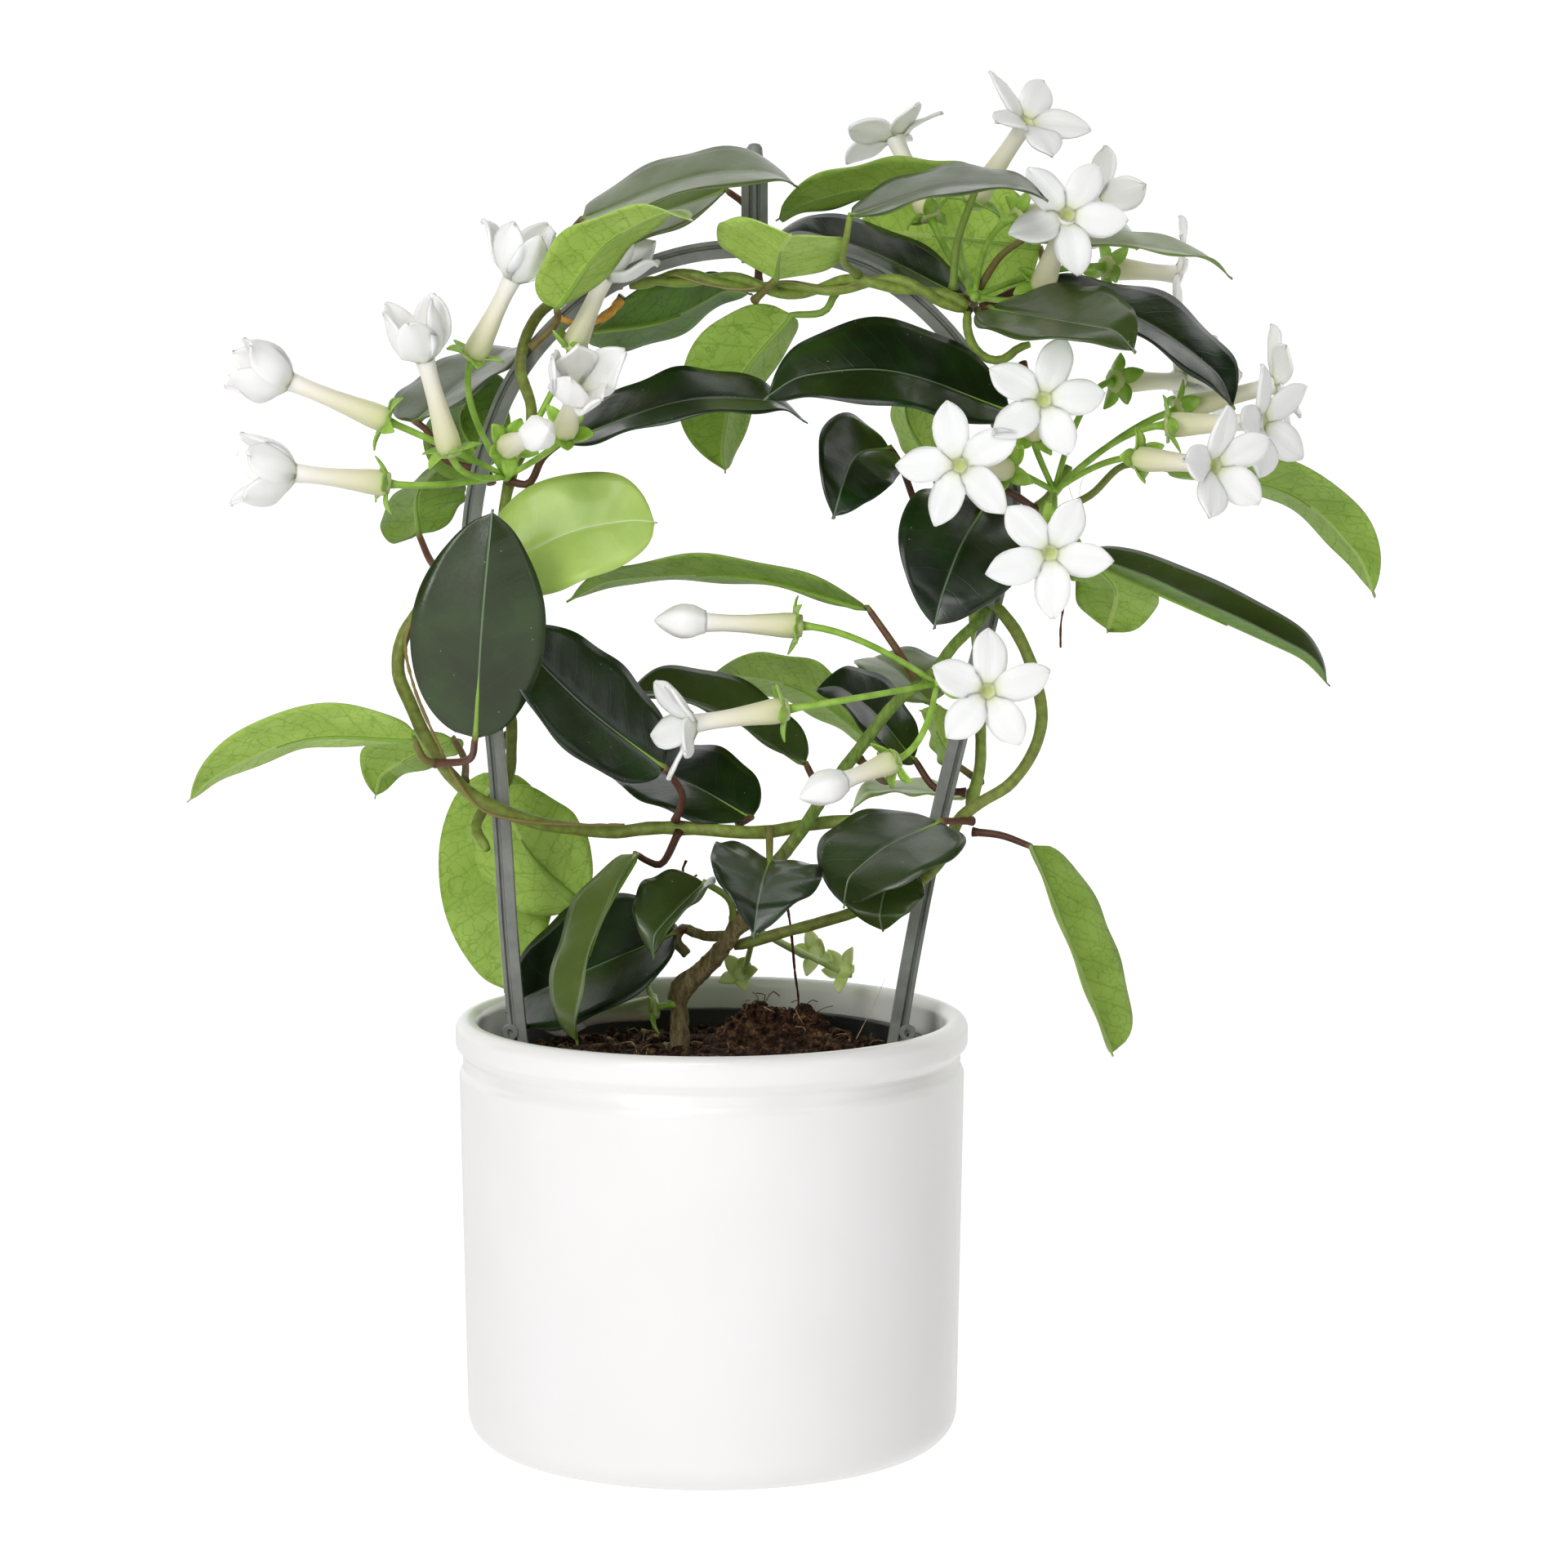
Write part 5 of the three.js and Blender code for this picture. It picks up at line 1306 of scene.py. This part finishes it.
def sepal(bm, turn, length, freshness):
    """One leafy point of the calyx, at an angle about the +Z axis."""
    lean = math.radians(chance.uniform(52, 88) - 30 * freshness)
    curve = chance.uniform(-0.5, 0.7)
    wide = length * chance.uniform(0.28, 0.35)

    def place(side, part):
        angle = lean + curve * (part - 0.3)
        half = wide * math.sin(math.pi * min(part * 0.86 + 0.14, 0.985)) ** 0.8
        way = Vector((math.sin(angle), 0, math.cos(angle)))
        face = Vector((-math.cos(angle), 0, math.sin(angle)))
        spot = Vector((1.6 * MM, 0, 0.4 * MM)) + way * length * part
        spot += SIDEWAYS * half * side + face * half * 0.35 * abs(side)
        return spot, (half * side, part * length), freshness, abs(side)

    verts = blade(bm, 4, SEPAL_ROWS, place, SEPAL_THICKNESS, 2, 2)
    bmesh.ops.rotate(bm, matrix=Matrix.Rotation(turn, 3, "Z"), verts=verts)
    return verts


def lay(bm, verts, spot):
    """Moves what was built about the +Z axis at the origin to a frame: +Z forward, +X up."""
    centre, across, up, forward = spot
    turn = Matrix((up, across * -1, forward)).transposed().to_4x4()
    if turn.determinant() < 0:
        turn = Matrix((up, across, forward)).transposed().to_4x4()
    bmesh.ops.transform(bm, matrix=Matrix.Translation(centre) @ turn, verts=verts)


def flower(bm, joint, row, bare):
    calyx_at, mouth_at, opened = row[:3]
    tilt, roll = row[3:] or (0, 0)
    start, calyx, mouth = at(joint), at(calyx_at), at(mouth_at)
    axis = (mouth - calyx).normalized()
    tube = (mouth - calyx).length
    limb = axis.lerp(FRONT, tilt).normalized()
    first = (SKY - limb * limb.z).normalized()
    first.rotate(Matrix.Rotation(math.radians(-roll), 3, limb))

    bend = calyx - axis * 0.35 * (calyx - start).length
    parts = [i / STALK_STEPS for i in range(STALK_STEPS + 1)]
    line = [start.lerp(bend, t).lerp(bend.lerp(calyx, t), t) for t in parts]
    radii = [FLOWER_STALK_R * mix(1.0, 1.25, t) for t in parts]
    radii[-1] *= 1.35
    # Bare calyxes take the fresh colours, which hold painted light as well as their young paleness.
    freshness = 1 if bare else 0
    sweep(bm, frames(line, FRONT), radii, 8, 2, [0.6 * freshness] * len(line))

    head = frames([calyx, mouth], first)[0]
    spread = chance.uniform(0, math.tau)
    size = SEPAL_LENGTH * (0.9 if bare else 1)
    points = [v for k in range(LOBES) for v in sepal(bm, spread + math.tau * k / LOBES, size, freshness)]
    lay(bm, points, head)
    cup_line = frames([calyx + axis * d * MM for d in (-0.6, 0.2, 1.2, 2.2)], first)
    sweep(bm, cup_line, [0.8 * MM, 2.2 * MM, 2.6 * MM, 1.2 * MM], 10, 2, [freshness] * 4)
    if bare:
        return

    parts = [i / TUBE_STEPS for i in range(TUBE_STEPS + 1)]
    bow = [calyx + axis * tube * t for t in parts[:-1]] + [mouth, mouth + limb * 0.1 * MM]
    swell = [between(TUBE_RADII, t) * MM for t in parts]
    if opened:
        spots = frames(bow, first)
        inner = [(mouth - limb * deep * MM, *spots[-1][1:]) for deep, _, _ in THROAT]
        radii = [*swell, MOUTH_R, *[wide * MM for _, wide, _ in THROAT]]
        ages = [*parts, 1.0, *[age for _, _, age in THROAT]]
        rings = sweep(bm, [*spots, *inner], radii, TUBE_SIDES, 1, ages)
        rib_tube(rings[:TUBE_STEPS - 2], [spot[0] for spot in spots])
        verts = []
        for k in range(LOBES):
            cup = opened < CUP_LIMIT
            verts += corolla_lobe(bm, math.tau * k / LOBES, 1 if cup else opened, cup)
        lay(bm, verts, frames([mouth, mouth + limb], first)[0])
        return
    rib_tube(sweep(bm, frames(bow[:-1], first), swell, TUBE_SIDES, 1, parts), bow)
    bud(bm, mouth, limb, first)


def bud(bm, mouth, limb, first):
    """The closed lobes: a pointed egg whose five folds wind about it."""
    parts = [i / BUD_STEPS for i in range(BUD_STEPS + 1)]
    tip = frames([mouth + limb * BUD_LENGTH * (t - 0.04) for t in parts], first)
    shape = [between(BUD_RADII, t) * MM for t in parts]
    rings = sweep(bm, tip, shape, TUBE_SIDES, 0, [mix(0.5, 1, t) for t in parts])
    for ring, (middle, across, up, _), t in zip(rings, tip, parts):
        for vert in ring:
            out = vert.co - middle
            turn = math.atan2(out.dot(across), out.dot(up))
            vert.co = middle + out * (1 + FOLD_DEPTH * math.cos(LOBES * turn + FOLD_TURN * t))


def rib_tube(rings, middles):
    """Presses shallow grooves along a flower tube, deepest at its foot."""
    for k, ring in enumerate(rings):
        depth = 0.05 * (1 - k / len(rings))
        for i, vert in enumerate(ring):
            if i % 2:
                vert.co = vert.co.lerp(middles[k], depth)


def make_flowers():
    for name, cluster in CLUSTERS.items():
        bm = new_mesh()
        knob = bmesh.ops.create_icosphere(bm, subdivisions=2, radius=1.5 * MM)["verts"]
        bmesh.ops.translate(bm, vec=at(cluster["joint"]), verts=knob)
        paint(around(knob, "link_faces"), 2)
        for row in cluster["flowers"]:
            flower(bm, cluster["joint"], row, name == BARE_CLUSTER)
        finish_piece(bm, name + "_bloom", [PETAL, FLOWER_TUBE, CALYX], [name])


# ---------------------------------------------------------------- small dry things
YELLOW_TWIG = "yellow_stalk"
TWIGS = {                       # stops, first and last radius in mm, age from 0 dark to 1 pale
    "aerial_root": ([(21, 149, 2), (22, 142, 5), (23, 131, 10), (24, 122, 16), (23, 112, 18)],
        0.42, 0.3, 0.1),
    "dry_leaf_stalk": ([(92, 258, 3), (95, 248, 1), (97, 236, 0), (96, 227, -1), (96, 221, -1)],
        0.45, 0.3, 0.3),
    "loop_strand": ([(-81, 231, -17), (-84, 223, -18), (-82, 211, -18), (-76, 196, -16), (-70, 184, -12),
        (-63, 176, -11), (-52, 173, -9), (-38, 172, -6), (-24, 172, -4)], 0.5, 0.35, 0.75),
    "bark_strip": ([(-10, 323, -1), (0, 320, -2), (10, 319, -3), (20, 321, -4), (32, 319, -5),
        (44, 322, -9)], 0.28, 0.16, 0.82),
    "dark_curl": ([(-7, 162, 4), (-8, 159, 3), (-6, 157, 2), (-4, 158, 2)], 0.4, 0.3, 0.1),
    "white_hair": ([(99, 262, -6), (98, 266, -8), (100, 269, -8)], 0.08, 0.06, 1.0),
    "white_hair_2": ([(101, 262, -6), (101, 265, -9), (102, 268, -9)], 0.08, 0.06, 1.0),
    "yellow_stalk": ([(-41, 311, -2), (-36, 309.5, -2), (-31, 310.5, -2), (-27.5, 312.5, 0),
        (-24.5, 316, 3)], 1.0, 1.25, 1.0),
    "long_hair": ([(40, 112, -16), (45, 122, -14), (48, 129, -12)], 0.1, 0.06, 0.9),
}


def make_twigs():
    bm = new_mesh()
    for name, (stops, first_r, last_r, age) in TWIGS.items():
        line = run([at(stop) for stop in stops], step=1.2 * MM)
        last = len(line) - 1
        radii = [mix(first_r, last_r, i / last) * MM * chance.uniform(0.8, 1.3) for i in range(last + 1)]
        sweep(bm, frames(line, FRONT), radii, 6, int(name == YELLOW_TWIG), [age] * (last + 1))
    finish_piece(bm, "dry_twigs", [FIBRE, YELLOWED_STALK])


# ---------------------------------------------------------------- the plant
make_cover_pot()
make_grow_pot()
make_soil()
make_crumbs()
make_fibres()
make_hoop()
JOINTS = [at(row[0][0]) for rows in LEAVES.values() for row in rows]
JOINTS += [at(cluster["joint"]) for cluster in CLUSTERS.values()]
make_trunk()
make_vines(JOINTS)
make_leaves()
make_flowers()
make_twigs()


# ---------------------------------------------------------------- stage, light and camera
FLOOR_LIGHT = 0.76              # what the floor gives the plant, next to 1 that the camera sees
WALL_LIGHT = 1.1
FLOOR_SIZE = 30
WALL_SIZE = (14, 7)             # the lit wall behind the plant
WALL_Y = 3.5
CAMERA_LENS = 109.0
CAMERA_PITCH = 6.7              # degrees below level
SENSOR_WIDTH = 36               # mm
AIR_LIGHT = 0.0
SOFTBOXES = [                   # name, place, what it points at, width and height, watts
    ("front_softbox", (0, -2.0, 0.9), (0, 0, 0.2), (1.2, 1.2), 3),
    ("left_softbox", (-0.8, -1.6, 0.75), (0, 0, 0.2), (0.6, 1.0), 14.5),
    ("right_softbox", (1.2, -0.8, 0.8), (0, 0, 0.2), (0.6, 1.2), 3),
    ("top_softbox", (-0.3, -1.0, 1.5), (0, 0, 0.2), (1.0, 0.8), 9),
]


def lit_panel(name, size, place, material):
    """A flat panel that isn't part of the object."""
    bm = new_mesh()
    verts = bmesh.ops.create_grid(bm, x_segments=2, y_segments=2, size=0.5)["verts"]
    bmesh.ops.scale(bm, vec=(*size, 1), verts=verts)
    bmesh.ops.transform(bm, matrix=place, verts=verts)
    panel = place_mesh(bm, name, [material])


def make_stage():
    floor = surface("opal_acrylic_lit_floor", lit_acrylic, FLOOR_LIGHT)
    wall = surface("opal_acrylic_lit_wall", lit_acrylic, WALL_LIGHT)
    lit_panel("studio_floor", (FLOOR_SIZE, FLOOR_SIZE), Matrix.Identity(4), floor)
    upright = Matrix.Rotation(math.radians(90), 4, "X")
    behind = Matrix.Translation((0, WALL_Y, WALL_SIZE[1] / 2))
    lit_panel("studio_wall", WALL_SIZE, behind @ upright, wall)


def softbox(name, place, aim, size, watts):
    lamp = bpy.data.lights.new(name, "AREA")
    lamp.shape = "RECTANGLE"
    lamp.size, lamp.size_y = size
    lamp.energy = watts
    light = show(name, lamp)
    light.location = place
    light.rotation_euler = (Vector(aim) - Vector(place)).to_track_quat("-Z", "Y").to_euler()


def make_light():
    world = bpy.data.worlds.new("studio_air")
    world.use_nodes = True
    tree = world.node_tree
    seen = add(tree, "LightPath", {}, "Is Camera Ray")
    strength = add(tree, "MapRange", {"Value": seen, "To Min": AIR_LIGHT, "To Max": 1})
    feed(tree.nodes["Background"], {"Color": linear("#FFFFFF"), "Strength": strength})
    bpy.context.scene.world = world
    for box in SOFTBOXES:
        softbox(*box)


def make_camera():
    lens = bpy.data.cameras.new("camera")
    lens.lens = CAMERA_LENS
    lens.sensor_width = SENSOR_WIDTH
    camera = show("camera", lens)
    camera.location = EYE
    camera.rotation_euler = (math.radians(90 - CAMERA_PITCH), 0, 0)
    bpy.context.scene.camera = camera


make_stage()
make_light()
make_camera()
bpy.context.scene.view_settings.view_transform = "Standard"

bpy.context.view_layer.update()
